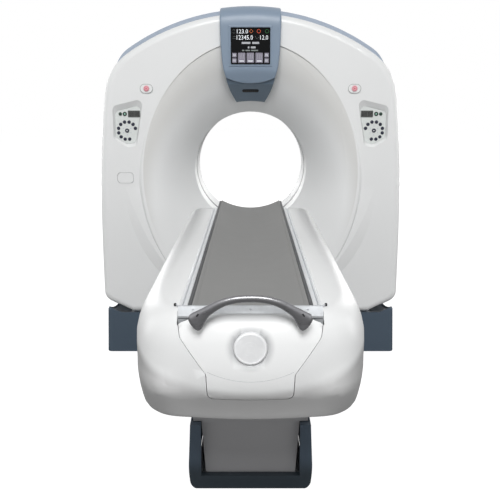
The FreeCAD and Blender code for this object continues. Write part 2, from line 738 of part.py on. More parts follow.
def shell_solid(inset):
    """Loft through the slices, less the wedge under the head end; inset moves every wall inwards."""
    wires = []
    last = len(SHELL_SLICES) - 1
    for i, (level, half, set_back, bluntness) in enumerate(SHELL_SLICES):
        below, above = SHELL_SLICES[max(i - 1, 0)], SHELL_SLICES[min(i + 1, last)]
        rise, spread = above[0] - below[0], above[1] - below[1]
        slope = math.hypot(rise, spread)
        wires.append(shell_slice(level + inset * spread / slope, half - inset * rise / slope,
                                 float(shell_nose) + set_back + inset, float(shell_head) - inset, bluntness))
    under = float(shell_under) - 2 + inset
    wedge = Part.makePolygon([at(-500, y, z) for y, z in (
        (-1090, under - 200), (-1090, under), (-650, 782 + inset), (-650, under - 200),
        (-1090, under - 200))])
    return Part.makeLoft(wires, True, True).cut(prism(wedge, at(1000, 0, 0)))


def end_cover_prism(inset):
    """The seam of the end cover in front view, as a prism through the nose."""
    right = ((208 - inset, 990), (211 - inset, 930), (204 - inset, 886), (129 - inset, 782),
             (126 - inset, 694 + inset))
    return prism(mirrored_outline(right, 22, -FAR), at(0, FAR - 2560, 0))


def grab_handle():
    """Flat round arch on two leaf-shaped feet; returns it with the stems that pass through the end cover."""
    plane = -2738
    arch = Part.makeTorus(209, 9, at(0, plane, 802), Vector(0, 1, 0), 0, 360, 360)
    arch = arch.common(Part.makeBox(224, 60, 200, at(-112, plane - 30, 900)))
    stems = [Part.makeCylinder(14, -2698 - plane, at(sign * 151, plane, 941), Vector(0, 1, 0))
             for sign in (-1, 1)]
    leaf = ((96, 998), (170, 972), (180, 945), (148, 908), (130, 914), (121, 952), (96, 973))
    leaves = []
    for sign in (-1, 1):
        outline = rounded_outline([(sign * x, z) for x, z in leaf], 7, plane - 9)
        solid = prism(outline, at(0, 22, 0))
        front = [edge for edge in solid.Edges if edge.BoundBox.YMax < plane - 8.9]
        leaves.append(solid.makeChamfer(3, front))
    return arch.fuse(leaves + stems).removeSplitter(), stems


def table_mouldings():
    """White shell of the table, and its separate end cover with the round badge and the grab handle."""
    outside = shell_solid(0)
    inside = shell_solid(float(skin))
    wall = outside.cut(inside)
    gap_half = float(rail_outer)
    deck_gap = Part.makeBox(2 * gap_half, 1960, 130, at(-gap_half, -2690, 825))
    head_gap = Part.makeBox(2 * gap_half + 2, 60, 140, at(-gap_half - 1, -735, 825))
    well = Part.makeBox(530, 1060, 150, at(-265, -2062, 540))
    shell = wall.cut(deck_gap).cut(end_cover_prism(0)).cut(well).cut(head_gap)
    node("table_shell", moulding("shell", shell))

    disc = Part.makeCylinder(47.5, 14, at(0, -2749, 866), Vector(0, 1, 0))
    handle, stems = grab_handle()
    node("grab_handle", moulding("handle", handle))
    end_cover = wall.common(end_cover_prism(float(seam))).cut(deck_gap).cut([disc] + stems)
    node("table_end_cover", moulding("end_cover", end_cover))
    rim = [edge for edge in disc.Edges if edge.BoundBox.YMax < -2748]
    node("badge_disc", moulding("badge", disc.makeChamfer(3, rim)))


def table_end_plate():
    """Strip that closes the deck at the foot of the cradle."""
    body = new_body("end_strip")
    section = sketch_on(body, "strip_section", "YZ_Plane", -rail_outer + 4)
    foot = cradle_foot - 7
    polygon(section, ((foot, frame_under + 8), (foot, cradle_height + 7), (foot - 10, cradle_height + 7),
                      (foot - 18, cradle_height - 20), (foot - 18, 940), (foot - 10, 934), (foot - 10, 838)))
    pad(body, "strip_pad", section, rail_outer * 2 - 8)
    node("table_end_plate", body)


# ---------------------------------------------------------------- cradle (slides)

def hollow_arc(y, half, lift):
    """Arc across the cradle's hollow, lifted off the trough by a thickness."""
    edge_half, depth = float(cradle_half) - 5, float(cradle_sag) + float(mat_thickness)
    radius = (edge_half ** 2 + depth ** 2) / (2 * depth)
    centre = float(cradle_height) - depth + radius
    edge = centre - math.sqrt((radius - lift) ** 2 - half ** 2)
    return Part.Arc(at(-half, y, edge), at(0, y, centre - radius + lift), at(half, y, edge)).toShape()


def cradle():
    """Carbon trough, the mat that lines it, and the carriage that carries it."""
    half, top = float(cradle_half), float(cradle_height)
    foot, head = float(cradle_foot), float(cradle_head)
    under = top - float(cradle_depth)
    right = [at(half - 5, foot, top), at(half, foot, top), at(half, foot, top - 14), at(124, foot, under)]
    left = [Vector(-p.x, p.y, p.z) for p in reversed(right)]
    lines = [Part.LineSegment(a, b).toShape() for a, b in zip(right + left, (right + left)[1:])]
    solid = prism(closed(lines + [hollow_arc(foot, half - 5, 0)]), at(0, head - foot, 0))
    head_corners = [e for e in solid.Edges if e.BoundBox.ZLength > 10 and e.BoundBox.XLength < 1
                    and e.BoundBox.YMin > head - 1]
    node("cradle_shell", moulding("trough", solid.makeFillet(10, head_corners)))

    mat_half, fit = half - 11, 0.1
    curves = [hollow_arc(foot + 6, mat_half, lift) for lift in (fit, float(mat_thickness))]
    sides = [Part.LineSegment(one.Point, other.Point).toShape()
             for one, other in zip(curves[0].Vertexes, curves[1].Vertexes)]
    sheet = prism(closed(curves + sides), at(0, head - foot - 12, 0))
    node("cradle_mat", moulding("mat", sheet))

    body = new_body("carriage")
    section = sketch_on(body, "carriage_section", "XZ_Plane", -cradle_foot - 330)
    low = frame_under + 52.5
    high = cradle_height - cradle_depth
    polygon(section, ((-168, low), (168, low), (168, high - 6), (124, high), (-124, high), (-168, high - 6)))
    pad(body, "carriage_pad", section, 320)
    node("cradle_carriage", body)


# ---------------------------------------------------------------- ring housing (tilts)

def under_flank_plane(shift):
    """All that lies behind the plane on which the flank outside the rim runs out, moved back by a wall."""
    slope = 0.04
    low, high, behind = 100.0, 2200.0, 0.0
    near = float(face_y) + shift
    low_y = near - (float(flank_top) - low) * slope
    high_y = near + (high - float(flank_top)) * slope
    points = [at(-1000, y, z) for y, z in ((low_y, low), (high_y, high), (behind, high), (behind, low))]
    return prism(Part.makePolygon(points + points[:1]), at(2000, 0, 0))


def rim_ring(grow, y, lean=0.0):
    return ellipse(float(dish_half) + grow, float(dish_rise) + grow, float(dish_centre), y, lean)


def front_cover():
    """White front cover with the raised rim, the dish, the pockets for the keypads and the stop seats."""
    drop = float(crown_step)
    wall = float(skin)
    near, far = float(face_y), -float(join_y)
    edge = float(edge_radius)
    lean = rim_lean()
    outside = rounded_at(housing_block(near, far, drop), near, edge)
    inside = rounded_at(housing_block(near + wall, far + 1, drop, wall), near + wall, edge - wall)

    trim = swing(float(tilt_reach))
    crest = rim_ring(9, near - 1, lean)
    flank = Part.makeLoft([ellipse(800, 832, float(dish_centre), near + 6), crest], True, True)
    flank = flank.common(under_flank_plane(0))
    collar = Part.makeLoft([rim_ring(50, near + 20), crest], True, True)
    level = Part.makeBox(2000, 100, 700, at(-1000, near - 100, float(dish_level) + 20))
    raised = flank.fuse(collar).common(trim).cut(level)
    void = dish(0)
    funnel = dish(wall).cut(void).common(trim).cut(level)
    mouth = Part.makeLoft([rim_ring(30, near - 102, lean), rim_ring(0, near - 2, lean)], True, True)
    void = void.fuse(mouth)
    throat = bore_drum(wall - 3, float(throat_front) - 1, -float(window_half) - 1)
    hole = bore_drum(0, float(throat_front) - 5, 5)
    bulk = outside.fuse(raised).cut(void)
    hollow = Part.makeLoft([ellipse(794, 826, float(dish_centre), near + 12), rim_ring(4, near + 6, lean)],
                           True, True)
    hollow = hollow.common(swing(float(tilt_reach) - wall)).common(under_flank_plane(10))
    shell = outside.fuse(raised).cut([inside, hollow]).fuse([funnel, throat]).cut([void, hole])
    for sign in (-1, 1):
        pocket_shape = keypad_pocket(sign)
        backing = prism(keypad_outline(sign, KEYPAD_MOUTH, 6, near + 2), at(0, 32, 0)).common(outside)
        shell = shell.cut(pocket_shape).fuse(backing.cut(pocket_shape))
        shell = shell.cut(pill(sign, 0, near - 5, near + 20))
    shell = shell.cut([hatch(0, near - 5, near + 20)] + stand_notches(near + 13, far + 1))
    node("front_cover", moulding("front_moulding", max(shell.Solids, key=lambda solid: solid.Volume)))
    return bulk


def stand_notches(near, far):
    """Free room in the foot of a cover, where it swings past the side stands."""
    middle = float(stand_inner) + float(stand_plate) / 2
    return [Part.makeBox(74, far - near, 220, at(sign * middle - 37, near, 130)) for sign in (-1, 1)]


KEYPAD_X, KEYPAD_Z = 718.0, 1415.0
# corners of a keypad's pocket at the face and at its floor, from the pocket's middle, outwards and up
KEYPAD_MOUTH = ((89, 102), (-93, 146), (-48, -130), (8, -140), (89, -92))
KEYPAD_FLOOR = ((80, 70), (-82, 110), (-41, -113), (8, -122), (80, -82))
KEYPAD_DEPTH = 19.0


def keypad_outline(sign, corners, grow, y):
    """Rounded outline of a keypad's pocket, grown or shrunk towards its middle."""
    moved = [(sign * (KEYPAD_X + x + grow * math.copysign(1, x)),
              KEYPAD_Z + z + grow * math.copysign(1, z)) for x, z in corners]
    return rounded_outline(moved, 30 + grow, y)


def keypad_pocket(sign):
    """Recess with sloping walls, and the straight seat of the keypad's plate at its floor."""
    near = float(face_y)
    slope = Part.makeLoft([keypad_outline(sign, KEYPAD_MOUTH, 0, near - 1),
                           keypad_outline(sign, KEYPAD_FLOOR, 0, near + KEYPAD_DEPTH)], True, True)
    seat = prism(keypad_outline(sign, KEYPAD_FLOOR, 0, near + KEYPAD_DEPTH), at(0, 7, 0))
    return slope.fuse(seat)


def pill(sign, grow, start, end):
    """Stadium outline of an emergency-stop plate."""
    centre_x, centre_z, half, radius = sign * 604.0, 1615.0, 37.0 + grow, 25.0 + grow
    solid = Part.makeBox(2 * half, end - start, 2 * radius, at(centre_x - half, start, centre_z - radius))
    upright = [e for e in solid.Edges if e.BoundBox.YLength > 5 and e.BoundBox.XLength < 1]
    return solid.makeFillet(radius - 0.5, upright)


def hatch(grow, start, end):
    solid = Part.makeBox(98 + 2 * grow, end - start, 64 + 2 * grow, at(-794 - grow, start, 1064 - grow))
    upright = [e for e in solid.Edges if e.BoundBox.YLength > 5 and e.BoundBox.XLength < 1]
    return solid.makeFillet(22, upright)


def front_details():
    """Keypads, stop plates with their buttons, and the small service hatch."""
    near = float(face_y)
    for side, sign in (("left", -1), ("right", 1)):
        pad_plate = prism(keypad_outline(sign, KEYPAD_FLOOR, -1, near + KEYPAD_DEPTH + 0.5), at(0, 6, 0))
        node("keypad_" + side, moulding("keypad_plate_" + side, pad_plate))
        plate = pill(sign, -0.5, near - 5, near + 8)
        well = Part.makeCylinder(17.5, 40, at(sign * 604, near - 8, 1615), Vector(0, 1, 0))
        node("stop_bezel_" + side, moulding("stop_plate_" + side, plate.cut(well)))
        button = Part.makeCylinder(17, 15, at(sign * 604, near - 10, 1615), Vector(0, 1, 0))
        rim = [e for e in button.Edges if e.BoundBox.YMax < near - 9.9]
        node("stop_button_" + side, moulding("stop_knob_" + side, button.makeChamfer(2.5, rim)))
    node("service_hatch", moulding("hatch_plate", hatch(-1.5, near, near + 8)))


def rear_cover():
    """White rear cover with a short funnel."""
    drop = float(crown_step)
    wall = float(skin)
    near, far = float(join_y), float(back_y)
    edge = float(edge_radius)
    outside = rounded_at(housing_block(near, far, drop), far, edge)
    inside = rounded_at(housing_block(near - 1, far - wall, drop, wall), far - wall, edge - wall)
    flare_start, mouth = float(throat_rear), float(rear_flare)

    def funnel(grow):
        """The flared mouth as a solid of revolution about the bore's axis."""
        radius = float(bore_radius) + grow
        lip = at(0, far + 3, iso_height) + at(0, 0, mouth + grow)
        curve = smooth([at(0, flare_start, iso_height) + at(0, 0, radius),
                        at(0, 345, iso_height) + at(0, 0, radius + 40),
                        at(0, 425, iso_height) + at(0, 0, radius + 115), lip],
                       Vector(0, 100, 0), Vector(0, 60, 100))
        axis = [at(0, far + 3, iso_height), at(0, flare_start, iso_height)]
        lines = Part.makePolygon([lip] + axis + [at(0, flare_start, iso_height) + at(0, 0, radius)])
        outline = closed([curve] + lines.Edges)
        return Part.Face(outline).revolve(axis[0], Vector(0, 1, 0), 360)

    throat = bore_drum(wall - 3, float(window_half) + 1, float(throat_rear) + 1)
    hole = bore_drum(0, -5, float(throat_rear) + 5)
    skirt = funnel(wall).common(Part.makeBox(2000, 300, 2200, at(-1000, 200, 0)))
    skirt = skirt.cut(Part.makeBox(2000, 50, 2200, at(-1000, far, 0)))
    shell = outside.cut(inside).fuse([skirt, throat])
    shell = shell.cut([funnel(0), hole] + stand_notches(near - 1, far - 32))
    node("rear_cover", moulding("rear_moulding", shell))


def middle_covers():
    """Side covers and the crown band, between the front and the rear cover, and the pan under them."""
    wall = float(skin)
    near, far = -float(join_y) + 1, float(join_y) - 1
    split = float(shoulder_height)
    foot_split = 320.0
    bulk = housing_block(near, far, 0)
    ring = bulk.cut(housing_block(near - 1, far + 1, 0, wall))
    lipped = bulk.cut(housing_block(near + wall, far - wall, 0, wall))
    lipped = lipped.cut(housing_block(near - 1, far + 1, float(crown_step), wall))
    crown = lipped.common(Part.makeBox(2000, 700, 700, at(-1000, -350, split + 1)))
    node("crown_band", moulding("crown", crown))
    for side, low in (("left", -1000), ("right", 660)):
        wall_part = ring.common(Part.makeBox(340, 700, split - foot_split - 1, at(low, -350, foot_split)))
        node("side_cover_" + side, moulding("side_" + side, wall_part))
    pan_half = float(stand_inner) - 14
    pan = ring.common(Part.makeBox(2 * pan_half, 700, foot_split - 102, at(-pan_half, -350, 100)))
    node("bottom_pan", moulding("pan", pan))


def scan_window():
    """Dark ring that the beam passes through, between the front and rear bore walls."""
    node("scan_window", tube("window_ring", "y", bore_radius + 4, bore_radius + 1, (0, iso_height),
                             -window_half, window_half))


def console_outline(right, top, bottom):
    """Front view of a part of the console, from the points of its right side and the middles of its ends."""
    ends = [at(x, -600, z) for x, z in (right[0], right[-1])]
    edges = []
    for sign in (-1, 1):
        points = [at(sign * x, -600, z) for x, z in right]
        edges.append(smooth(points, points[1] - points[0], points[-1] - points[-2]))
    for end, middle in zip(ends, (bottom, top)):
        edges.append(Part.Arc(Vector(-end.x, end.y, end.z), at(0, -600, middle), end).toShape())
    return closed(edges)


def console(bulk):
    """Blue-grey display housing that hangs from the crown into the dish, its lower part and the glass."""
    crown_centre = at(0, 0, float(crown_top) - float(crown_radius))
    upper_side = ((142, 1676), (154, 1716), (164, 1780), (170, 1862), (173, 1945), (174, 2007), (174, 2110))
    lower_side = ((84, 1537), (113, 1590), (130, 1633), (141.5, 1674))
    front = -490.0
    chin = smooth([at(0, -452, 1630), at(0, -476, 1678), at(0, front, 1730)],
                  Vector(0, -30, 40), Vector(0, 0, 60))
    brow = smooth([at(0, front, 1962), at(0, -479, 2022), at(0, -436, 2064), at(0, -301, 2079)],
                  Vector(0, 0, 60), Vector(0, 100, 4))
    back = [at(0, -301, 2079), at(0, -301, 2020), at(0, -200, 1900), at(0, -200, 1630), at(0, -452, 1630)]
    flat = Part.LineSegment(at(0, front, 1730), at(0, front, 1962)).toShape()
    section = Part.Face(closed([chin, flat, brow] + Part.makePolygon(back).Edges))
    section.rotate(crown_centre, Vector(0, 1, 0), -12)
    upper = section.revolve(crown_centre, Vector(0, 1, 0), 24)
    upper = upper.common(prism(console_outline(upper_side, 2110.5, 1644), at(0, 600, 0)))
    long_edges = [e for e in upper.Edges if e.BoundBox.YMax < -300 and e.BoundBox.ZLength > 40
                  and abs(e.CenterOfMass.x) > 120]
    upper = upper.makeFillet(10, long_edges)
    behind = Part.makeBox(700, 500, 700, at(-350, -300, 1500)).cut(dish(0))
    upper = upper.cut([bulk, behind])
    frame = Part.makeBox(246, 12, 226, at(-123, front - 4, 1736))
    frame = frame.makeFillet(3.5, [e for e in frame.Edges if e.BoundBox.YMax < front - 3])
    screen = Part.makeBox(226, 20, 204, at(-113, front - 7, 1747))
    screen = screen.makeFillet(6, [e for e in screen.Edges if e.BoundBox.YLength > 10])
    upper = upper.fuse(frame).cut(screen)
    node("console_housing", moulding("console_upper", max(upper.Solids, key=lambda s: s.Volume)))

    lower_profile = ((-200, 1500), (-286, 1536), (-322, 1552), (-446, 1640), (-458, 1662), (-458, 1680),
                     (-200, 1680), (-200, 1500))
    lower = prism(console_outline(lower_side, 1642.5, 1544), at(0, 600, 0)).common(
        prism(Part.makePolygon([at(-300, y, z) for y, z in lower_profile]), at(600, 0, 0)))
    slot = Part.makeBox(98, 60, 18, at(-49, -420, 1594))
    slot = slot.makeFillet(8.5, [e for e in slot.Edges if e.BoundBox.YLength > 10])
    lower = lower.cut([bulk, behind, slot])
    node("console_lower_cover", moulding("console_lower", max(lower.Solids, key=lambda s: s.Volume)))
    glass = Part.makeBox(223, 5, 201, at(-111.5, front + 8, 1748.5))
    glass = glass.makeFillet(5, [e for e in glass.Edges if e.BoundBox.YLength > 4 and e.BoundBox.XLength < 1])
    node("console_display", moulding("display", glass))


def tilt_frame():
    """Stationary ring plate that carries the rotor's bearing, with an arm and a tilt pin on each side."""
    rear = stator_y + stator_plate
    ring = tube("stator_ring", "y", 740, 400, (0, iso_height), stator_y, rear)
    waist = block("stator_waist", (-704, 704), (stator_y - 5, rear + 5), (iso_height - 760, iso_height + 760))
    plate = doc.addObject("Part::MultiCommon", "stator_plate_shape")
    plate.Shapes = [ring, waist]
    across, down = pulley_reach, iso_height - pulley_reach
    pieces = [plate, block("motor_lug", (across - 90, across + 80), (stator_y, rear), (down - 80, down + 90))]
    reach = stand_inner + stand_plate
    arm_height = (iso_height - 150, iso_height + 150)
    for side, low, high, start, end in (
        ("left", -704, -668, -reach, -700), ("right", 668, 704, 700, reach),
    ):
        pieces.append(block("tilt_arm_" + side, (low, high), (-90, rear), arm_height))
        pieces.append(rod("tilt_pin_" + side, "x", trunnion_radius, (0, iso_height), start, end))
    node("tilt_frame", joined("tilt_ring", pieces))


def rotor_bearing_outer():
    node("rotor_bearing_outer", tube("outer_race", "y", 470, 425, (0, iso_height), stator_y - 40, stator_y))


def rotor_drive():
    """Motor below and to the right of the rotor, the belt round the drum, and the motor's pulley."""
    x, z = pulley_reach, iso_height - pulley_reach
    drum_rear = drum_front + drum_plate
    can = rod("drive_motor_can", "y", 62, (x, z), drum_rear + 18, stator_y)
    shaft_hole = rod("drive_motor_bore", "y", 10 + pin_fit, (x, z), drum_rear + 17, drum_rear + 50)
    node("rotor_drive_motor", cut("drive_motor", can, shaft_hole))
    wheel = tube("pulley_wheel", "y", pulley_radius, 10 + pin_fit, (x, z), drum_front, drum_rear)
    node("drive_pulley", wheel)
    node("rotor_drive_shaft", rod("drive_shaft", "y", 10, (x, z), drum_front - 6, drum_rear + 46))

    def belt_loop(extra):
        big = float(rotor_radius) + extra
        small = float(pulley_radius) + extra
        reach = float(pulley_reach)
        distance = reach * math.sqrt(2)
        lean = math.acos((big - small) / distance)
        towards = math.atan2(-1, 1)
        y = float(drum_front) + 2
        axis_point, motor_point = at(0, y, iso_height), at(reach, y, z)

        def on(centre, radius, angle):
            return centre + at(radius * math.cos(angle), 0, radius * math.sin(angle))

        up, down = towards + lean, towards - lean
        far_side = on(axis_point, big, towards + math.pi)
        near_side = on(motor_point, small, towards)
        edges = [
            Part.Arc(on(axis_point, big, up), far_side, on(axis_point, big, down)).toShape(),
            Part.LineSegment(on(axis_point, big, down), on(motor_point, small, down)).toShape(),
            Part.Arc(on(motor_point, small, down), near_side, on(motor_point, small, up)).toShape(),
            Part.LineSegment(on(motor_point, small, up), on(axis_point, big, up)).toShape(),
        ]
        return prism(closed(edges), at(0, float(drum_plate) - 4, 0))

    clear = 0.4
    belt = belt_loop(clear + float(belt_thickness)).cut(belt_loop(clear))
    node("drive_belt", moulding("belt", belt))


# ---------------------------------------------------------------- rotor (spins)

def rotor():
    """Drum with its inner race, the X-ray source, generator, detector arc and slip ring."""
    rear = drum_front + drum_plate
    drum = tube("drum_disc", "y", rotor_radius, rotor_bore, (0, iso_height), drum_front, rear)
    race = tube("inner_race", "y", 424.6, rotor_bore, (0, iso_height), rear, stator_y - 6)
    node("rotor_drum", joined("drum", (drum, race)))
    source = rod("tube_housing", "y", 84, (0, iso_height + 552), -130, drum_front)
    neck = block("tube_neck", (-60, 60), (-70, -10), (iso_height + 420, iso_height + 500))
    node("xray_tube", joined("source", (source, neck)))
    for name, low, high in (("high_voltage_generator", -600, -420), ("rotor_power_unit", 420, 600)):
        node(name, block(name + "_box", (low, high), (-110, drum_front), (iso_height - 60, iso_height + 210)))
    spread = math.radians(27)
    outer, inner = 640.0, 560.0

    def on(radius, angle):
        return at(radius * math.sin(angle), -80, float(iso_height) - radius * math.cos(angle))

    edges = [
        Part.Arc(on(outer, -spread), on(outer, 0), on(outer, spread)).toShape(),
        Part.LineSegment(on(outer, spread), on(inner, spread)).toShape(),
        Part.Arc(on(inner, spread), on(inner, 0), on(inner, -spread)).toShape(),
        Part.LineSegment(on(inner, -spread), on(outer, -spread)).toShape(),
    ]
    node("detector_arc", moulding("detector", prism(closed(edges), at(0, float(drum_front) + 80, 0))))
    node("slip_ring", tube("slip_ring_disc", "y", 640, 480, (0, iso_height), rear, rear + 22))


def brush_block():
    """Carbon brushes that feed the slip ring, on the stationary plate."""
    node("brush_block", block("brush_holder", (-60, 60), (drum_front + drum_plate + 23, stator_y),
                              (iso_height + 560, iso_height + 640)))


# ---------------------------------------------------------------- build, check and write

gantry_base_frame()
levelling_feet()
base_cover("base_cover_front", float(base_front), -1.0, float(base_front))
base_cover("base_cover_rear", 1.0, float(base_rear), float(base_rear))
tilt_bearings()
tilt_gearmotor()
cable_duct()
table_base_plate()
pedestal_cover()
pedestal_front_panel()
lift_columns_and_shrouds()
lift_motor()
table_frame()
cradle_guides()
cradle_drive_motor()
side_rails()
table_mouldings()
table_end_plate()
cradle()
cover_bulk = front_cover()
front_details()
rear_cover()
middle_covers()
scan_window()
console(cover_bulk)
tilt_frame()
rotor_bearing_outer()
rotor_drive()
rotor()
brush_block()

doc.recompute()
faults = [thing.Name for thing in doc.Objects if {"Invalid", "Error"} & set(thing.State)]
faults += [name for name, thing in nodes.items() if thing.Shape.isNull() or not thing.Shape.isValid()]
if faults:
    raise ValueError("failed: " + ", ".join(faults))
os.makedirs("parts", exist_ok=True)
for name, thing in nodes.items():
    thing.Shape.exportStep(f"parts/{name}.step")
print(len(nodes), "sub-parts written")
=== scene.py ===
import json
import math

import bmesh
import bpy
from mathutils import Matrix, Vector
from mathutils.bvhtree import BVHTree

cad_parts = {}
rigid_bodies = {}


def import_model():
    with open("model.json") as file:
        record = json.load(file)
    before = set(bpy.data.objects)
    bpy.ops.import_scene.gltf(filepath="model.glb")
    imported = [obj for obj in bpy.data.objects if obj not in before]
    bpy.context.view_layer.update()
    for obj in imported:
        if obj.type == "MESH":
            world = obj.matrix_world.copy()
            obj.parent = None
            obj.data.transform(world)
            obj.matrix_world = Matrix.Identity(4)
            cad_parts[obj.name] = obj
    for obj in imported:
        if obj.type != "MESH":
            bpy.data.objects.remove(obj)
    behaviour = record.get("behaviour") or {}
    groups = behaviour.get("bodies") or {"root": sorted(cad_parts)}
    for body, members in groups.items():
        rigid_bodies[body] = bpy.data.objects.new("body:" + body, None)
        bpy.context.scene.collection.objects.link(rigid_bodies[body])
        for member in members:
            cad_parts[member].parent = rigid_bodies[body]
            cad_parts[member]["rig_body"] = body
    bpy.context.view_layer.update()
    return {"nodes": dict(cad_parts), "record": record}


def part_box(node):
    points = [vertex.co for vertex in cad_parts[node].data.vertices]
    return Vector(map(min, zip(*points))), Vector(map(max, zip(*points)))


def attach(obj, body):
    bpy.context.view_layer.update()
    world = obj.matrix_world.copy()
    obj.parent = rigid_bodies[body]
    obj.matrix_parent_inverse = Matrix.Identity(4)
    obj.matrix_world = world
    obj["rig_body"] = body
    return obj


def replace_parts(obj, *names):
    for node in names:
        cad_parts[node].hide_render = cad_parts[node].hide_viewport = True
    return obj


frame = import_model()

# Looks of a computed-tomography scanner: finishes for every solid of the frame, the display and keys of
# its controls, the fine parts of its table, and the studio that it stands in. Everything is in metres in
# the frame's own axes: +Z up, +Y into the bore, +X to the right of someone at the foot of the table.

nodes = frame["nodes"]

BORE_HEIGHT = 1.13         # of the bore's axis above the floor
GLASS_FRONT = -0.482       # front plane of the display's glass
PAD_FRONT = -0.4205        # front plane of a keypad's plate
STOP_FRONT = -0.450        # front plane of a stop button
BADGE_HEIGHT = 0.866       # of the disc on the table's end
BADGE_FRONT = -2.749       # its front plane
SHARP_ANGLE = math.radians(32)  # edges that turn more than this stay sharp
SIDES = (("left", -1), ("right", 1))  # with the sign of their x


# ---- shader groups

def new_group(name, inputs, outputs):
    """An empty shader group with named sockets; each is (name, type, default)."""
    group = bpy.data.node_groups.new(name, "ShaderNodeTree")
    for label, kind, default in inputs:
        socket = group.interface.new_socket(label, in_out="INPUT", socket_type="NodeSocket" + kind)
        socket.default_value = default
    for label, kind in outputs:
        group.interface.new_socket(label, in_out="OUTPUT", socket_type="NodeSocket" + kind)
    return group, group.nodes.new("NodeGroupInput"), group.nodes.new("NodeGroupOutput")


def noise(tree, scale, detail=2.0, roughness=0.5):
    texture = tree.nodes.new("ShaderNodeTexNoise")
    texture.inputs["Scale"].default_value = scale
    texture.inputs["Detail"].default_value = detail
    texture.inputs["Roughness"].default_value = roughness
    return texture


def ranged(tree, source, low, high):
    """Maps the range that a noise mostly fills onto low to high; either end may be a socket."""
    node = tree.nodes.new("ShaderNodeMapRange")
    node.inputs["From Min"].default_value = 0.3
    node.inputs["From Max"].default_value = 0.7
    for name, value in (("To Min", low), ("To Max", high)):
        if hasattr(value, "node"):
            tree.links.new(value, node.inputs[name])
        else:
            node.inputs[name].default_value = value
    tree.links.new(source, node.inputs["Value"])
    return node.outputs["Result"]


def arithmetic(tree, operation, a, b):
    node = tree.nodes.new("ShaderNodeMath")
    node.operation = operation
    for socket, value in zip(node.inputs, (a, b)):
        if hasattr(value, "node"):
            tree.links.new(value, socket)
        else:
            socket.default_value = value
    return node.outputs["Value"]


def vector_maths(tree, operation, *sources):
    node = tree.nodes.new("ShaderNodeVectorMath")
    node.operation = operation
    for socket, source in zip(node.inputs, sources):
        tree.links.new(source, socket)
    return node


def multiplied(tree, colour, shade):
    """A colour times a shade, as a socket."""
    tone = tree.nodes.new("ShaderNodeMix")
    tone.data_type = "RGBA"
    tone.blend_type = "MULTIPLY"
    tone.inputs["Factor"].default_value = 1.0
    tree.links.new(colour, tone.inputs["A"])
    tree.links.new(shade, tone.inputs["B"])
    return tone.outputs["Result"]


def surface_group():
    """Slow drift of tone and gloss, faint handling marks and a fine moulded grain."""
    tree, given, made = new_group(
        "moulded_surface",
        (("Colour", "Color", (0.8, 0.8, 0.8, 1)), ("Gloss", "Float", 0.4), ("Drift", "Float", 0.02),
         ("Grain Size", "Float", 900.0), ("Grain", "Float", 0.3)),
        (("Colour", "Color"), ("Roughness", "Float"), ("Height", "Float")),
    )
    place = tree.nodes.new("ShaderNodeTexCoord")
    slow = noise(tree, 1.7, 3.0)
    patches = noise(tree, 14.0, 4.0)
    grain = noise(tree, 900.0, 1.0)
    for texture in (slow, patches, grain):
        tree.links.new(place.outputs["Object"], texture.inputs["Vector"])
    tree.links.new(given.outputs["Grain Size"], grain.inputs["Scale"])
    darker = arithmetic(tree, "SUBTRACT", 1.0, given.outputs["Drift"])
    shade = ranged(tree, slow.outputs["Fac"], darker, 1.0)
    tree.links.new(multiplied(tree, given.outputs["Colour"], shade), made.inputs["Colour"])
    wear = ranged(tree, patches.outputs["Fac"], -0.05, 0.05)
    tree.links.new(arithmetic(tree, "ADD", given.outputs["Gloss"], wear), made.inputs["Roughness"])
    height = arithmetic(tree, "MULTIPLY", grain.outputs["Fac"], given.outputs["Grain"])
    tree.links.new(height, made.inputs["Height"])
    return tree


def brushed_group():
    """Streaks along one axis for turned, drawn and extruded metal."""
    tree, given, made = new_group(
        "brushed_surface",
        (("Colour", "Color", (0.7, 0.7, 0.7, 1)), ("Gloss", "Float", 0.3),
         ("Stretch", "Vector", (1, 1, 1))),
        (("Colour", "Color"), ("Roughness", "Float"), ("Height", "Float")),
    )
    place = tree.nodes.new("ShaderNodeTexCoord")
    stretched = vector_maths(tree, "MULTIPLY", place.outputs["Object"], given.outputs["Stretch"])
    streak = noise(tree, 60.0, 3.0, 0.6)
    tree.links.new(stretched.outputs["Vector"], streak.inputs["Vector"])
    shade = ranged(tree, streak.outputs["Fac"], 0.9, 1.0)
    tree.links.new(multiplied(tree, given.outputs["Colour"], shade), made.inputs["Colour"])
    wear = ranged(tree, streak.outputs["Fac"], -0.06, 0.08)
    tree.links.new(arithmetic(tree, "ADD", given.outputs["Gloss"], wear), made.inputs["Roughness"])
    tree.links.new(streak.outputs["Fac"], made.inputs["Height"])
    return tree


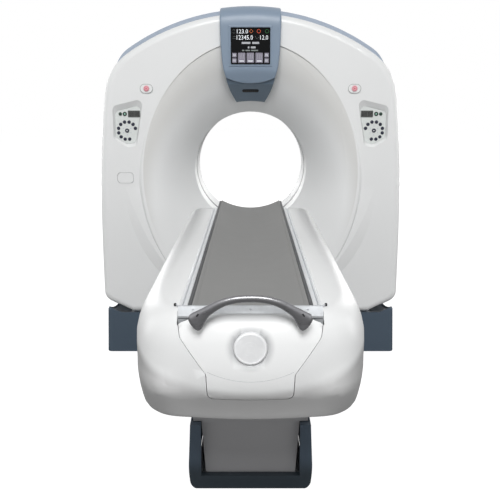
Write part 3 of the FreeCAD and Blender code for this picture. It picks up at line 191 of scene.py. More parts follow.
def zone_group():
    """One colour near a place and another away from it; the stretch sets which distances count."""
    tree, given, made = new_group(
        "colour_zone",
        (("Inside", "Color", (0.5, 0.5, 0.5, 1)), ("Outside", "Color", (0.5, 0.5, 0.5, 1)),
         ("Centre", "Vector", (0, 0, 0)), ("Stretch", "Vector", (1, 1, 1)), ("Near", "Float", 0.1),
         ("Far", "Float", 0.2)),
        (("Colour", "Color"),),
    )
    place = tree.nodes.new("ShaderNodeTexCoord")
    away = vector_maths(tree, "SUBTRACT", place.outputs["Object"], given.outputs["Centre"])
    counted = vector_maths(tree, "MULTIPLY", away.outputs["Vector"], given.outputs["Stretch"])
    distance = vector_maths(tree, "LENGTH", counted.outputs["Vector"])
    share = tree.nodes.new("ShaderNodeMapRange")
    share.interpolation_type = "SMOOTHSTEP"
    tone = tree.nodes.new("ShaderNodeMix")
    tone.data_type = "RGBA"
    link = tree.links.new
    link(distance.outputs["Value"], share.inputs["Value"])
    link(given.outputs["Near"], share.inputs["From Min"])
    link(given.outputs["Far"], share.inputs["From Max"])
    link(share.outputs["Result"], tone.inputs["Factor"])
    link(given.outputs["Inside"], tone.inputs["A"])
    link(given.outputs["Outside"], tone.inputs["B"])
    link(tone.outputs["Result"], made.inputs["Colour"])
    return tree


MOULDED = surface_group()
BRUSHED = brushed_group()
ZONE = zone_group()
FINISHES = {}


def finish(name, group, settings, metal=0.0, coat=0.0, bump=0.1, depth=0.0002):
    """A material whose colour, gloss and relief come from one of the groups."""
    material = bpy.data.materials.new(name)
    material.use_nodes = True
    tree = material.node_tree
    shader = tree.nodes["Principled BSDF"]
    surface = tree.nodes.new("ShaderNodeGroup")
    surface.node_tree = group
    for label, value in settings.items():
        surface.inputs[label].default_value = value
    relief = tree.nodes.new("ShaderNodeBump")
    relief.inputs["Strength"].default_value = bump
    relief.inputs["Distance"].default_value = depth
    tree.links.new(surface.outputs["Colour"], shader.inputs["Base Color"])
    tree.links.new(surface.outputs["Roughness"], shader.inputs["Roughness"])
    tree.links.new(surface.outputs["Height"], relief.inputs["Height"])
    tree.links.new(relief.outputs["Normal"], shader.inputs["Normal"])
    shader.inputs["Metallic"].default_value = metal
    shader.inputs["Coat Weight"].default_value = coat
    shader.inputs["Coat Roughness"].default_value = 0.15
    FINISHES[name] = material
    return material


def shade_of(red, green, blue):
    """A display colour from 0 to 255 as linear light."""
    linear = [((v / 255 + 0.055) / 1.055) ** 2.4 if v > 10 else v / 3294 for v in (red, green, blue)]
    return (*linear, 1.0)


def zoned(material, inside, centre, stretch, near, far):
    """Gives a finish another colour near a place, or beyond it if near is more than far.

    A second zone is laid over the first.
    """
    tree = material.node_tree
    surface = next(node for node in tree.nodes if node.type == "GROUP")
    zone = tree.nodes.new("ShaderNodeGroup")
    zone.node_tree = ZONE
    zone.inputs["Outside"].default_value = surface.inputs["Colour"].default_value
    zone.inputs["Inside"].default_value = shade_of(*inside)
    for label, value in (("Centre", centre), ("Stretch", stretch), ("Near", near), ("Far", far)):
        zone.inputs[label].default_value = value
    if surface.inputs["Colour"].is_linked:
        tree.links.new(surface.inputs["Colour"].links[0].from_socket, zone.inputs["Outside"])
    tree.links.new(zone.outputs["Colour"], surface.inputs["Colour"])
    return material


def plastic(name, colour, gloss, drift=0.02, grain_size=900.0, grain=0.3, coat=0.0, shine=0.5):
    settings = {"Colour": shade_of(*colour), "Gloss": gloss, "Drift": drift, "Grain Size": grain_size,
                "Grain": grain}
    material = finish(name, MOULDED, settings, coat=coat)
    material.node_tree.nodes["Principled BSDF"].inputs["Specular IOR Level"].default_value = shine
    return material


def metal(name, colour, gloss, stretch=(1, 1, 1), amount=1.0):
    settings = {"Colour": shade_of(*colour), "Gloss": gloss, "Stretch": stretch}
    return finish(name, BRUSHED, settings, metal=amount, bump=0.05, depth=0.0001)


def lit(name, colour, strength=1.0):
    """A lit part of the display."""
    material = bpy.data.materials.new(name)
    material.use_nodes = True
    shader = material.node_tree.nodes["Principled BSDF"]
    shader.inputs["Base Color"].default_value = shade_of(*colour)
    shader.inputs["Roughness"].default_value = 0.3
    shader.inputs["Emission Color"].default_value = shade_of(*colour)
    shader.inputs["Emission Strength"].default_value = strength
    return material


# ---- finishes of the solids

COVER_WHITE = (230, 231, 231)
BASE_NAVY = (66, 80, 94)

# one finish for each material slot of the solids
plastic("white_cover", COVER_WHITE, 0.38, coat=0.15)
plastic("crown_blue", (158, 169, 184), 0.42)
plastic("console_blue", (126, 142, 160), 0.40)
plastic("console_dark", (98, 115, 131), 0.42)
plastic("navy_base", BASE_NAVY, 0.55, drift=0.06, grain=0.8)
plastic("screen_glass", (6, 7, 9), 0.22, shine=0.12)
plastic("pad_grey", (214, 218, 216), 0.45)
plastic("red_button", (232, 178, 186), 0.35)
plastic("window_dark", (74, 76, 78), 0.35)
plastic("painted_frame", (148, 152, 158), 0.45, drift=0.06, grain=0.9)
metal("bare_steel", (178, 180, 184), 0.32, (1, 0.1, 1))
plastic("motor_black", (38, 39, 41), 0.5, drift=0.1, grain=0.8)
metal("drum_aluminium", (196, 199, 203), 0.34, (1, 0.2, 1))
metal("detector_grey", (118, 122, 128), 0.42)
plastic("belt_rubber", (26, 26, 26), 0.75, drift=0.15, grain=0.9)
metal("copper_ring", (190, 138, 86), 0.3)
plastic("mat_grey", (148, 148, 147), 0.85, drift=0.03, grain_size=500.0, grain=0.8, shine=0.1)
plastic("cradle_grey", (196, 198, 200), 0.35, coat=0.2)
metal("rail_aluminium", (198, 201, 204), 0.38, (1, 0.04, 1), 0.75)
plastic("panel_grey", (158, 158, 160), 0.5, drift=0.05, grain=0.6)
metal("badge_grey", (242, 243, 244), 0.34, (0.3, 1, 0.3), 0.2)
plastic("foot_rubber", (30, 30, 30), 0.7, drift=0.1, grain=0.9)

STEEL, BLACK = FINISHES["bare_steel"], FINISHES["motor_black"]
# small parts of the display, the keypads, the stop plates and the table's end
SCREEN_WHITE = lit("screen_white", (214, 218, 222), 0.55)
SCREEN_GREY = lit("screen_grey", (150, 152, 156), 0.45)
SCREEN_DIM = lit("screen_dim", (104, 110, 108), 0.40)
SCREEN_ORANGE = lit("screen_orange", (206, 112, 62), 0.5)
SCREEN_RED = lit("screen_red", (208, 84, 56), 0.5)
SCREEN_GREEN = lit("screen_green", (38, 92, 48), 0.5)
SCREEN_KEY = plastic("screen_key", (136, 132, 146), 0.35)
SLOT_BLACK = plastic("slot_black", (10, 12, 15), 0.5)
READOUT = plastic("readout_grey", (72, 74, 72), 0.25)
READOUT_DARK = plastic("readout_dark", (22, 23, 22), 0.3)
KEY_NAVY = plastic("key_navy", (18, 22, 44), 0.4)
KEY_DARK_GREEN = plastic("key_dark_green", (14, 44, 32), 0.4)
KEY_GREEN = plastic("key_green", (150, 196, 176), 0.35)
KEY_MARK = plastic("key_mark", (186, 190, 202), 0.4)
STOP_RED = plastic("stop_red", (212, 116, 128), 0.35)
TRIM_GREY = plastic("trim_grey", (172, 176, 174), 0.4)
SEAM_GREY = plastic("seam_grey", (186, 187, 189), 0.5)
RIM_WHITE = plastic("rim_white", (240, 241, 242), 0.25, coat=0.4)
ORIGIN = (0, 0, 0)
SIDEWAYS, UPWARDS, FRONT_VIEW = (1, 0, 0), (0, 0, 1), (1, 0, 1)  # the distances that a zone counts
# the base's navy with painted shade, darker towards the pedestal's foot
PEDESTAL_NAVY_SHADED = zoned(plastic("pedestal_navy", BASE_NAVY, 0.55, drift=0.06, grain=0.8),
                      (36, 46, 54), ORIGIN, UPWARDS, 0.055, 0.15)
# drawn metal of the grab handle, its arch a touch darker than its feet
HANDLE_METAL = zoned(metal("handle_metal", (128, 128, 131), 0.30, (0.06, 1, 1), 0.85),
                     (126, 126, 128), ORIGIN, SIDEWAYS, 0.098, 0.112)
RAIL_METAL = metal("rail_metal", (236, 238, 240), 0.38, (1, 0.04, 1), 0.75)
# the table is white inside a wide circle in front view; below it the downward-facing skirt is painted grey
# as painted shade
SKIRT_SHADE = ((0, 0, 1.45), FRONT_VIEW, 0.713, 0.750)
# the painted shade on the skirt is deeper towards the table's sides
TABLE_WHITE_SHADED = zoned(plastic("table_white", (172, 172, 172), 0.42, coat=0.05),
                    (204, 204, 204), ORIGIN, SIDEWAYS, 0.20, 0.33)
TABLE_WHITE_SHADED = zoned(TABLE_WHITE_SHADED, COVER_WHITE, *SKIRT_SHADE)
# the end cover has the same painted shade on its skirt, and painted shade round the badge's dimple and
# under the end plate
END_COVER_SHADED = zoned(plastic("end_cover_white", (200, 200, 200), 0.38, coat=0.15),
                        (238, 239, 239), *SKIRT_SHADE)
# painted shade in a ring round the badge
END_COVER_SHADED = zoned(END_COVER_SHADED, (198, 199, 200), (0, 0, BADGE_HEIGHT), FRONT_VIEW, 0.049, 0.076)
# painted shade on the cover just under the end plate
END_COVER_SHADED = zoned(END_COVER_SHADED, (184, 185, 186), (0, 0, 0.966), (0.30, 0, 1.6), 0.010, 0.085)
# painted shade: the dish's upper part, which faces down, is painted darker than the face, up to an ellipse
# close to the rim there
DISH_STRETCH = (1.570, 0, 1.300)  # one over the half width and the half height of that ellipse
DISH_SHADED = zoned(plastic("dish_white", (214, 214, 212), 0.38, coat=0.15),
                   COVER_WHITE, (0, 0, 0.95), DISH_STRETCH, 0.88, 1.04)
DISH_SHADED = zoned(DISH_SHADED, COVER_WHITE, (0, 0, 1.115), DISH_STRETCH, 1.004, 0.996)
# the cradle's pale grey, with painted shadow as a dark strip along each side of the mat, where the gap
# beside the rail lies
CRADLE_GAP_SHADOW = zoned(plastic("cradle_gap_shadow", (58, 60, 63), 0.45),
                     (224, 225, 226), ORIGIN, SIDEWAYS, 0.1712, 0.1722)

SLOT_OF = {part["node"]: part["material_slot"] for part in frame["record"]["subparts"]}
OWN_FINISH = {
    "front_cover": DISH_SHADED, "table_shell": TABLE_WHITE_SHADED, "table_end_cover": END_COVER_SHADED,
    "side_rail_left": RAIL_METAL, "side_rail_right": RAIL_METAL, "cradle_shell": CRADLE_GAP_SHADOW,
    "pedestal_cover": PEDESTAL_NAVY_SHADED,
}


def paint(thing, material):
    thing.data.materials.clear()
    thing.data.materials.append(material)


for name, node in nodes.items():
    paint(node, OWN_FINISH.get(name, FINISHES[SLOT_OF[name]]))


# ---- making pieces

class Piece:
    """Gathers closed shapes, each with its finish, into one object that rides on a body."""

    def __init__(self, name, body, slot_name):
        self.name, self.body, self.slot_name = name, body, slot_name
        self.mesh = bmesh.new()
        self.finishes = []

    def add(self, shape, material):
        points, faces = shape
        if material not in self.finishes:
            self.finishes.append(material)
        made = [self.mesh.verts.new(point) for point in points]
        for corners in faces:
            face = self.mesh.faces.new([made[i] for i in corners])
            face.material_index = self.finishes.index(material)
        return self

    def object(self):
        """The finished mesh, closed and with its faces outwards."""
        bmesh.ops.remove_doubles(self.mesh, verts=self.mesh.verts, dist=2e-6)
        bmesh.ops.dissolve_degenerate(self.mesh, edges=self.mesh.edges, dist=1e-7)
        bmesh.ops.recalc_face_normals(self.mesh, faces=self.mesh.faces)
        mesh = bpy.data.meshes.new(self.name)
        self.mesh.to_mesh(mesh)
        self.mesh.free()
        mesh.shade_smooth()
        mesh.set_sharp_from_angle(angle=SHARP_ANGLE)
        for material in self.finishes:
            mesh.materials.append(material)
        thing = bpy.data.objects.new(self.name, mesh)
        bpy.context.scene.collection.objects.link(thing)
        return thing

    def place(self):
        return settle(self.object(), self.body)


def settle(thing, body):
    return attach(thing, body)


def lofted(rings):
    """Points and faces of a closed shape through rings of equal length, with its ends filled."""
    count = len(rings[0])
    points = [point for ring in rings for point in ring]
    faces = [tuple(range(count)), tuple(range(len(points) - count, len(points)))]
    for low in range(0, len(points) - count, count):
        for i in range(count):
            j = (i + 1) % count
            faces.append((low + i, low + j, low + count + j, low + count + i))
    return points, faces


def plate(outline, front, back, bevel=0.0):
    """A flat plate in front view between two depths; its front edge may be bevelled."""
    middle = sum((Vector(p) for p in outline), Vector((0, 0))) / len(outline)

    def ring(y, inset):
        moved = [Vector(p) + (middle - Vector(p)).normalized() * inset for p in outline]
        return [Vector((p.x, y, p.y)) for p in moved]

    towards = math.copysign(bevel, back - front)
    rings = [ring(back, 0), ring(front + towards, 0)]
    if bevel:
        rings.append(ring(front, bevel))
    return lofted(rings)


def rounded(x, z, width, height, radius, steps=5):
    """Outline of a rounded rectangle about a middle."""
    corners = ((1, 1), (-1, 1), (-1, -1), (1, -1))
    outline = []
    for i, (across, up) in enumerate(corners):
        cx, cz = x + across * (width / 2 - radius), z + up * (height / 2 - radius)
        for step in range(steps + 1):
            angle = math.radians(90) * (i + step / steps)
            outline.append((cx + radius * math.cos(angle), cz + radius * math.sin(angle)))
    return outline


def round_outline(x, z, radius, count=28):
    angles = (math.tau * i / count for i in range(count))
    return [(x + radius * math.cos(a), z + radius * math.sin(a)) for a in angles]


def turned(profile, origin, axis, count=36):
    """A solid of revolution; the profile is a closed outline of (radius, distance along the axis)."""
    axis = Vector(axis).normalized()
    across = axis.orthogonal().normalized()
    other = axis.cross(across)
    size = len(profile)
    points, faces = [], []
    for i in range(count):
        angle = math.tau * i / count
        out = across * math.cos(angle) + other * math.sin(angle)
        points += [Vector(origin) + axis * along + out * radius for radius, along in profile]
    for i in range(count):
        low, high = i * size, (i + 1) % count * size
        for j in range(size):
            k = (j + 1) % size
            if profile[j][0] == 0 and profile[k][0] == 0:
                continue
            if profile[j][0] == 0:
                faces.append((low + j, low + k, high + k))
                continue
            if profile[k][0] == 0:
                faces.append((low + j, low + k, high + j))
                continue
            faces.append((low + j, low + k, high + k, high + j))
    return points, faces


def bar(path, radius, count=8, looped=False):
    """A round bar along points, closed on itself or with flat ends."""
    path = [Vector(p) for p in path]
    rings, across = [], None
    for i, point in enumerate(path):
        before = path[i - 1] if i or looped else point
        after = path[(i + 1) % len(path)] if i < len(path) - 1 or looped else point
        along = (after - before).normalized()
        across = (across or along.orthogonal()) - along * (across or along.orthogonal()).dot(along)
        across.normalize()
        other = along.cross(across)
        angles = (math.tau * j / count for j in range(count))
        rings.append([point + (across * math.cos(a) + other * math.sin(a)) * radius for a in angles])
    if not looped:
        return lofted(rings)
    points, faces = lofted(rings + rings[:1])
    return points, faces[2:]


def meets(node, start, direction):
    """Where a ray first meets a CAD node."""
    if node not in meets.trees:
        mesh = nodes[node].data
        meets.trees[node] = BVHTree.FromPolygons([v.co for v in mesh.vertices],
                                                 [tuple(p.vertices) for p in mesh.polygons])
    return meets.trees[node].ray_cast(Vector(start), Vector(direction))[0]


meets.trees = {}


def figures(text, left, right, low, high, y, thickness=0.0005):
    """A number in front view that fills a frame, slightly raised."""
    curve = bpy.data.curves.new("figures", "FONT")
    curve.body = text
    curve.extrude = 0.01
    curve.resolution_u = 2
    thing = bpy.data.objects.new("figures", curve)
    bpy.context.scene.collection.objects.link(thing)
    ready = bpy.context.evaluated_depsgraph_get()
    mesh = bpy.data.meshes.new_from_object(thing.evaluated_get(ready))
    xs, ys = ([v.co[axis] for v in mesh.vertices] for axis in (0, 1))
    wide, tall = max(xs) - min(xs), max(ys) - min(ys)
    points = [Vector((left + (v.co.x - min(xs)) / wide * (right - left), y - v.co.z / 0.02 * thickness,
                      low + (v.co.y - min(ys)) / tall * (high - low))) for v in mesh.vertices]
    faces = [tuple(p.vertices) for p in mesh.polygons]
    bpy.data.objects.remove(thing)
    return points, faces


def smoothed(node, shape=None):
    """Stands in for a CAD node with a copy of its mesh, welded, shaded smooth and, if asked, reshaped."""
    source = nodes[node]
    welded = bmesh.new()
    welded.from_mesh(source.data)
    bmesh.ops.remove_doubles(welded, verts=welded.verts, dist=5e-6)
    mesh = bpy.data.meshes.new(node + "_cover")
    welded.to_mesh(mesh)
    welded.free()
    mesh.shade_smooth()
    mesh.set_sharp_from_angle(angle=SHARP_ANGLE)
    mesh.materials.append(source.data.materials[0])
    if shape:
        for vertex in mesh.vertices:
            vertex.co = shape(vertex.co)
    cover = bpy.data.objects.new(node + "_cover", mesh)
    bpy.context.scene.collection.objects.link(cover)
    settle(cover, source["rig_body"])
    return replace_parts(cover, node)


def eased_share(value, start, end):
    """0 before the start, 1 past the end, with soft ends."""
    share = min(1.0, max(0.0, (value - start) / (end - start)))
    return share * share * (3 - 2 * share)


def fuller_corner(point):
    """Brings the two lower corners at the table's foot forward, so that its skirt stands upright there."""
    forward, upward = 0.036, 0.012
    low = eased_share(0.80 - point.z, 0.0, 0.11)
    aside = eased_share(abs(point.x), 0.17, 0.30)
    at_foot = eased_share(-point.y, 2.34, 2.52)
    share = low * aside * at_foot
    return Vector((point.x, point.y - forward * share, point.z + upward * share))


# ---- repeated details

def repeat_tree():
    """Copies a shape along a step or round an axis, as real geometry with a finish."""
    tree = bpy.data.node_groups.new("repeated_detail", "GeometryNodeTree")
    sockets = (("Shape", "Geometry"), ("Count", "Int"), ("Step", "Vector"), ("Turn", "Float"),
               ("Centre", "Vector"), ("Finish", "Material"))
    for label, kind in sockets:
        tree.interface.new_socket(label, in_out="INPUT", socket_type="NodeSocket" + kind)
    tree.interface.new_socket("Shape", in_out="OUTPUT", socket_type="NodeSocketGeometry")
    given, made = tree.nodes.new("NodeGroupInput"), tree.nodes.new("NodeGroupOutput")
    line = tree.nodes.new("GeometryNodeMeshLine")
    line.inputs["Offset"].default_value = (0, 0, 0)
    copies = tree.nodes.new("GeometryNodeInstanceOnPoints")
    index = tree.nodes.new("GeometryNodeInputIndex")
    shift = tree.nodes.new("ShaderNodeVectorMath")
    shift.operation = "SCALE"
    angle = tree.nodes.new("ShaderNodeMath")
    angle.operation = "MULTIPLY"
    spin = tree.nodes.new("ShaderNodeCombineXYZ")
    turn = tree.nodes.new("GeometryNodeRotateInstances")
    turn.inputs["Local Space"].default_value = False
    move = tree.nodes.new("GeometryNodeTranslateInstances")
    move.inputs["Local Space"].default_value = False
    real = tree.nodes.new("GeometryNodeRealizeInstances")
    coat = tree.nodes.new("GeometryNodeSetMaterial")
    link = tree.links.new
    link(given.outputs["Count"], line.inputs["Count"])
    link(line.outputs["Mesh"], copies.inputs["Points"])
    link(given.outputs["Shape"], copies.inputs["Instance"])
    link(index.outputs["Index"], angle.inputs[0])
    link(given.outputs["Turn"], angle.inputs[1])
    link(angle.outputs["Value"], spin.inputs["Y"])
    link(copies.outputs["Instances"], turn.inputs["Instances"])
    link(spin.outputs["Vector"], turn.inputs["Rotation"])
    link(given.outputs["Centre"], turn.inputs["Pivot Point"])
    link(given.outputs["Step"], shift.inputs[0])
    link(index.outputs["Index"], shift.inputs["Scale"])
    link(turn.outputs["Instances"], move.inputs["Instances"])
    link(shift.outputs["Vector"], move.inputs["Translation"])
    link(move.outputs["Instances"], real.inputs["Geometry"])
    link(real.outputs["Geometry"], coat.inputs["Geometry"])
    link(given.outputs["Finish"], coat.inputs["Material"])
    link(coat.outputs["Geometry"], made.inputs["Shape"])
    return tree


REPEAT = repeat_tree()


def repeated(name, shape, body, slot_name, material, count, step=(0, 0, 0), turn=0.0, centre=(0, 0, 0)):
    """One shape copied along a step, or round the bore's axis, and made a plain mesh."""
    seed = Piece(name + "_one", body, slot_name).add(shape, material).object()
    modifier = seed.modifiers.new("repeat", "NODES")
    modifier.node_group = REPEAT
    values = {"Count": count, "Step": step, "Turn": turn, "Centre": centre, "Finish": material}
    for socket in REPEAT.interface.items_tree:
        if socket.in_out == "INPUT" and socket.name in values:
            modifier[socket.identifier] = values[socket.name]
    seed.update_tag()
    ready = bpy.context.evaluated_depsgraph_get()
    mesh = bpy.data.meshes.new_from_object(seed.evaluated_get(ready))
    mesh.name = name
    bpy.data.objects.remove(seed)
    thing = bpy.data.objects.new(name, mesh)
    bpy.context.scene.collection.objects.link(thing)
    return settle(thing, body)


def screw_head(place, outwards, radius=0.005):
    """A pan head with a hexagonal socket."""
    deep = radius * 0.45
    profile = ((0, -0.001), (radius, -0.001), (radius, deep * 0.3), (radius * 0.86, deep * 0.8),
               (radius * 0.55, deep), (radius * 0.5, deep), (radius * 0.46, deep * 0.35), (0, deep * 0.35))
    return turned(profile, place, outwards, 18)


# ---- display

SCREEN_WIDTH, SCREEN_HEIGHT = 0.223, 0.201
SCREEN_TOP = 1.9495


def on_screen(across, down):
    """A place on the display, from its upper left corner, as shares of its width and height."""
    return (across - 0.5) * SCREEN_WIDTH, SCREEN_TOP - down * SCREEN_HEIGHT


def screen_box(left, top, right, bottom, corner=0.002, lift=0.0004):
    (x0, z1), (x1, z0) = on_screen(left, top), on_screen(right, bottom)
    outline = rounded((x0 + x1) / 2, (z0 + z1) / 2, x1 - x0, z1 - z0, corner, 3)
    return plate(outline, GLASS_FRONT - lift, GLASS_FRONT + 0.0002)


def screen_line(points, radius=0.0006):
    path = [Vector((x, GLASS_FRONT - 0.0002, z)) for x, z in (on_screen(*p) for p in points)]
    return bar(path, radius, 6)


def screen_ring(across, down, radius, corners):
    x, z = on_screen(across, down)
    path = [Vector((px, GLASS_FRONT - 0.0002, pz)) for px, pz in round_outline(x, z, radius, corners)]
    return bar(path, 0.0011, 6, True)


def screen_figures(text, left, top, right, bottom):
    (x0, z1), (x1, z0) = on_screen(left, top), on_screen(right, bottom)
    return figures(text, x0, x1, z0, z1, GLASS_FRONT)


def screen_marks(picture):
    """Dim signs beside the figures for the table's lift, its slide and the tilt."""
    strokes = (
        ((0.045, 0.075), (0.075, 0.045), (0.105, 0.075)), ((0.045, 0.125), (0.075, 0.155), (0.105, 0.125)),
        ((0.045, 0.30), (0.125, 0.30)), ((0.055, 0.245), (0.115, 0.245)), ((0.095, 0.225), (0.118, 0.245)),
        ((0.620, 0.225), (0.655, 0.300), (0.690, 0.300)), ((0.690, 0.265), (0.725, 0.265)),
    )
    for points in strokes:
        picture.add(screen_line(points), SCREEN_DIM)


def screen_dashes(picture):
    """Three rows of dashes in groups of given lengths."""
    rows = ((0.275, 0.72, 0.385, 0.055, (5, 4), SCREEN_GREY), (0.43, 0.63, 0.51, 0.05, (1, 3), SCREEN_GREY),
            (0.285, 0.69, 0.60, 0.035, (2, 4, 6), SCREEN_DIM))
    for start, end, level, tall, lengths, shade in rows:
        width = (end - start) / (sum(lengths) + len(lengths) - 1)
        for length in lengths:
            picture.add(screen_box(start, level, start + width * length, level + tall, 0.001), shade)
            start += width * (length + 1)


def screen_keys(picture):
    """Three wide soft keys with a bar and strokes, and two small ones on each side of them."""
    small_height = 0.122
    for left, right in ((0.034, 0.143), (0.857, 0.966)):
        for top in (0.684, 0.833):
            picture.add(screen_box(left, top, right, top + small_height), SCREEN_KEY)
            for share in (0.25, 0.5, 0.75):
                across = left + (right - left) * share
                stroke = ((across, top + 0.03), (across, top + small_height - 0.03))
                picture.add(screen_line(stroke, 0.0009), SCREEN_WHITE)
    for left, right in ((0.181, 0.366), (0.404, 0.590), (0.629, 0.814)):
        picture.add(screen_box(left, 0.680, right, 0.953, 0.003), SCREEN_KEY)
        picture.add(screen_box(left + 0.03, 0.895, right - 0.03, 0.918, 0.001, 0.0008), SCREEN_WHITE)
        middle = (left + right) / 2
        for shift in (-0.045, 0.0, 0.045):
            stroke = ((middle + shift, 0.725), (middle + shift + 0.012, 0.845))
            picture.add(screen_line(stroke, 0.0010), SCREEN_GREY)


def display_picture():
    """Figures, status rings, marks, rows of dashes and soft keys."""
    picture = Piece("display_picture", "gantry", "screen_glass")
    for text, place in (("123.0", (0.156, 0.045, 0.438, 0.155)), ("12345.0", (0.149, 0.205, 0.562, 0.325)),
                        ("12.0", (0.747, 0.205, 0.947, 0.325))):
        picture.add(screen_figures(text, *place), SCREEN_WHITE)
    picture.add(screen_ring(0.518, 0.095, 0.0105, 4), SCREEN_ORANGE)
    picture.add(screen_ring(0.710, 0.095, 0.0100, 24), SCREEN_RED)
    picture.add(screen_ring(0.918, 0.095, 0.0100, 24), SCREEN_GREEN)
    screen_marks(picture)
    screen_dashes(picture)
    screen_keys(picture)
    picture.place()


def display_surround():
    """Dark lining of the speaker slot, and a fine bead round the glass."""
    slot_height, slot_front = 1.603, -0.3785
    lining = Piece("speaker_slot_lining", "gantry", "screen_glass")
    slot = rounded(0, slot_height, 0.0966, 0.0166, 0.0078)
    lining.add(plate(slot, slot_front, slot_front + 0.004), SLOT_BLACK)
    for i in range(-3, 4):
        rib = [(0.012 * i, slot_front - 0.0007, slot_height + rise) for rise in (-0.006, 0.006)]
        lining.add(bar(rib, 0.0006, 6), BLACK)
    lining.place()
    bead = Piece("display_bead", "gantry", "console_blue")
    margin = 0.0032
    edge = rounded(0, SCREEN_TOP - SCREEN_HEIGHT / 2, SCREEN_WIDTH + margin, SCREEN_HEIGHT + margin, 0.0062)
    line = [(x, GLASS_FRONT - 0.0142, z) for x, z in edge]
    bead.add(bar(line, 0.0011, 8, True), FINISHES["console_blue"])
    bead.place()


# ---- keypads and stop plates

def dome(x, z, radius, height, front=PAD_FRONT):
    """A round key with a rolled edge, standing out of a plate that faces the table."""
    profile = ((0, -0.001), (radius, -0.001), (radius, height * 0.5), (radius * 0.9, height * 0.86),
               (radius * 0.62, height), (0, height * 1.02))
    return turned(profile, (x, front, z), (0, -1, 0), 24)


def washer(x, z, inner, outer, height, front=PAD_FRONT):
    profile = ((inner, -0.001), (outer, -0.001), (outer, height * 0.7), (outer * 0.96, height),
               (inner * 1.04, height), (inner, height * 0.7))
    return turned(profile, (x, front, z), (0, -1, 0), 32)


def keypad_keys(side, sign):
    """Readout, two round keys, and a ring of keys round a middle one."""
    keys = Piece("keypad_keys_" + side, "gantry", "pad_grey")
    readout_x, top_row = sign * 0.6845, 1.470
    readout = rounded(readout_x, top_row, 0.071, 0.039, 0.003)
    readout_front = PAD_FRONT - 0.0022
    keys.add(plate(readout, readout_front, PAD_FRONT + 0.001, 0.0006), READOUT)
    for left, right in ((-0.030, -0.001), (0.006, 0.030)):
        keys.add(figures("88", readout_x + left, readout_x + right, top_row - 0.012, top_row + 0.012,
                         readout_front), READOUT_DARK)
    keys.add(dome(sign * 0.765, top_row, 0.0102, 0.0030), KEY_DARK_GREEN)
    keys.add(washer(sign * 0.7385, top_row, 0.0052, 0.0124, 0.0030), KEY_DARK_GREEN)
    keys.add(dome(sign * 0.7385, top_row, 0.0050, 0.0022), KEY_GREEN)

    middle_x, middle_z = sign * 0.7285, 1.3735
    ring, mark_ring = 0.0515, 0.0255
    for k in range(10):
        angle = math.radians(15 + 30 * k)
        x = middle_x - sign * ring * math.cos(angle)
        keys.add(dome(x, middle_z + ring * math.sin(angle), 0.0101, 0.0030), KEY_NAVY)
    keys.add(washer(middle_x, middle_z, 0.0042, 0.0122, 0.0032), KEY_NAVY)
    keys.add(dome(middle_x, middle_z, 0.0040, 0.0022), FINISHES["pad_grey"])
    for k in range(6):
        angle = math.radians(90 + 60 * k)
        place = middle_x + mark_ring * math.cos(angle), middle_z + mark_ring * math.sin(angle)
        keys.add(dome(*place, 0.0028, 0.0010), KEY_MARK)
    keys.place()


def stop_details(side, sign):
    """A fine grey line round the stop plate, and the ring and mark on its button."""
    x, z = sign * 0.604, 1.615
    trim = Piece("stop_trim_" + side, "gantry", "white_cover")
    line = [(px, STOP_FRONT + 0.005, pz) for px, pz in rounded(x, z, 0.0725, 0.0485, 0.0242, 8)]
    trim.add(bar(line, 0.0016, 6, True), TRIM_GREY)
    trim.place()
    cap = Piece("stop_cap_" + side, side + "_stop", "red_button")
    cap.add(washer(x, z, 0.0095, 0.0128, 0.0008, STOP_FRONT), STOP_RED)
    cap.add(dome(x, z, 0.0055, 0.0009, STOP_FRONT), STOP_RED)
    cap.place()


# ---- table

def along_surface(node, points, spread=0.02):
    """Points of a curve in front view laid on a CAD node, filled in between at a spacing."""
    laid = []
    for (x0, z0), (x1, z1) in zip(points, points[1:]):
        steps = max(1, round(math.hypot(x1 - x0, z1 - z0) / spread))
        for i in range(steps):
            share = i / steps
            laid.append((x0 + (x1 - x0) * share, z0 + (z1 - z0) * share))
    laid.append(points[-1])
    found = [meets(node, (x, -4.0, z), (0, 1, 0)) for x, z in laid]
    return [point for point in found if point is not None]


# outer and inner edge of the grab handle's left half in front view, from the foot's tip to the arch's top
HANDLE_OUTER = (
    (-0.1478, 0.9178), (-0.160, 0.9260), (-0.1705, 0.9400), (-0.1746, 0.9543), (-0.1690, 0.9650),
    (-0.1534, 0.9742), (-0.1380, 0.9818), (-0.1224, 0.9898), (-0.1003, 1.0018), (-0.0738, 1.0120),
    (-0.0385, 1.0192), (0.0, 1.0212),
)
HANDLE_INNER = (
    (-0.1455, 0.9178), (-0.138, 0.9218), (-0.1315, 0.9334), (-0.1262, 0.9430), (-0.1210, 0.9520),
    (-0.1146, 0.9602), (-0.1070, 0.9662), (-0.0950, 0.9752), (-0.0800, 0.9842), (-0.0600, 0.9922),
    (-0.0320, 0.9982), (0.0, 0.9998),
)
HANDLE_PLANE = -2.738   # middle plane of the handle
HANDLE_DEPTH = 0.0090   # from that plane to its front


def through(points, steps):
    """Points of a smooth curve through given ones."""
    points = [Vector(p) for p in points]
    ends = [points[0] * 2 - points[1]] + points + [points[-1] * 2 - points[-2]]
    curve = []
    for a, b, c, d in zip(ends, ends[1:], ends[2:], ends[3:]):
        for i in range(steps):
            t = i / steps
            curve.append((b * 2 + (c - a) * t + (a * 2 - b * 5 + c * 4 - d) * t ** 2
                          + (b * 3 - a - c * 3 + d) * t ** 3) / 2)
    return curve + [points[-1]]


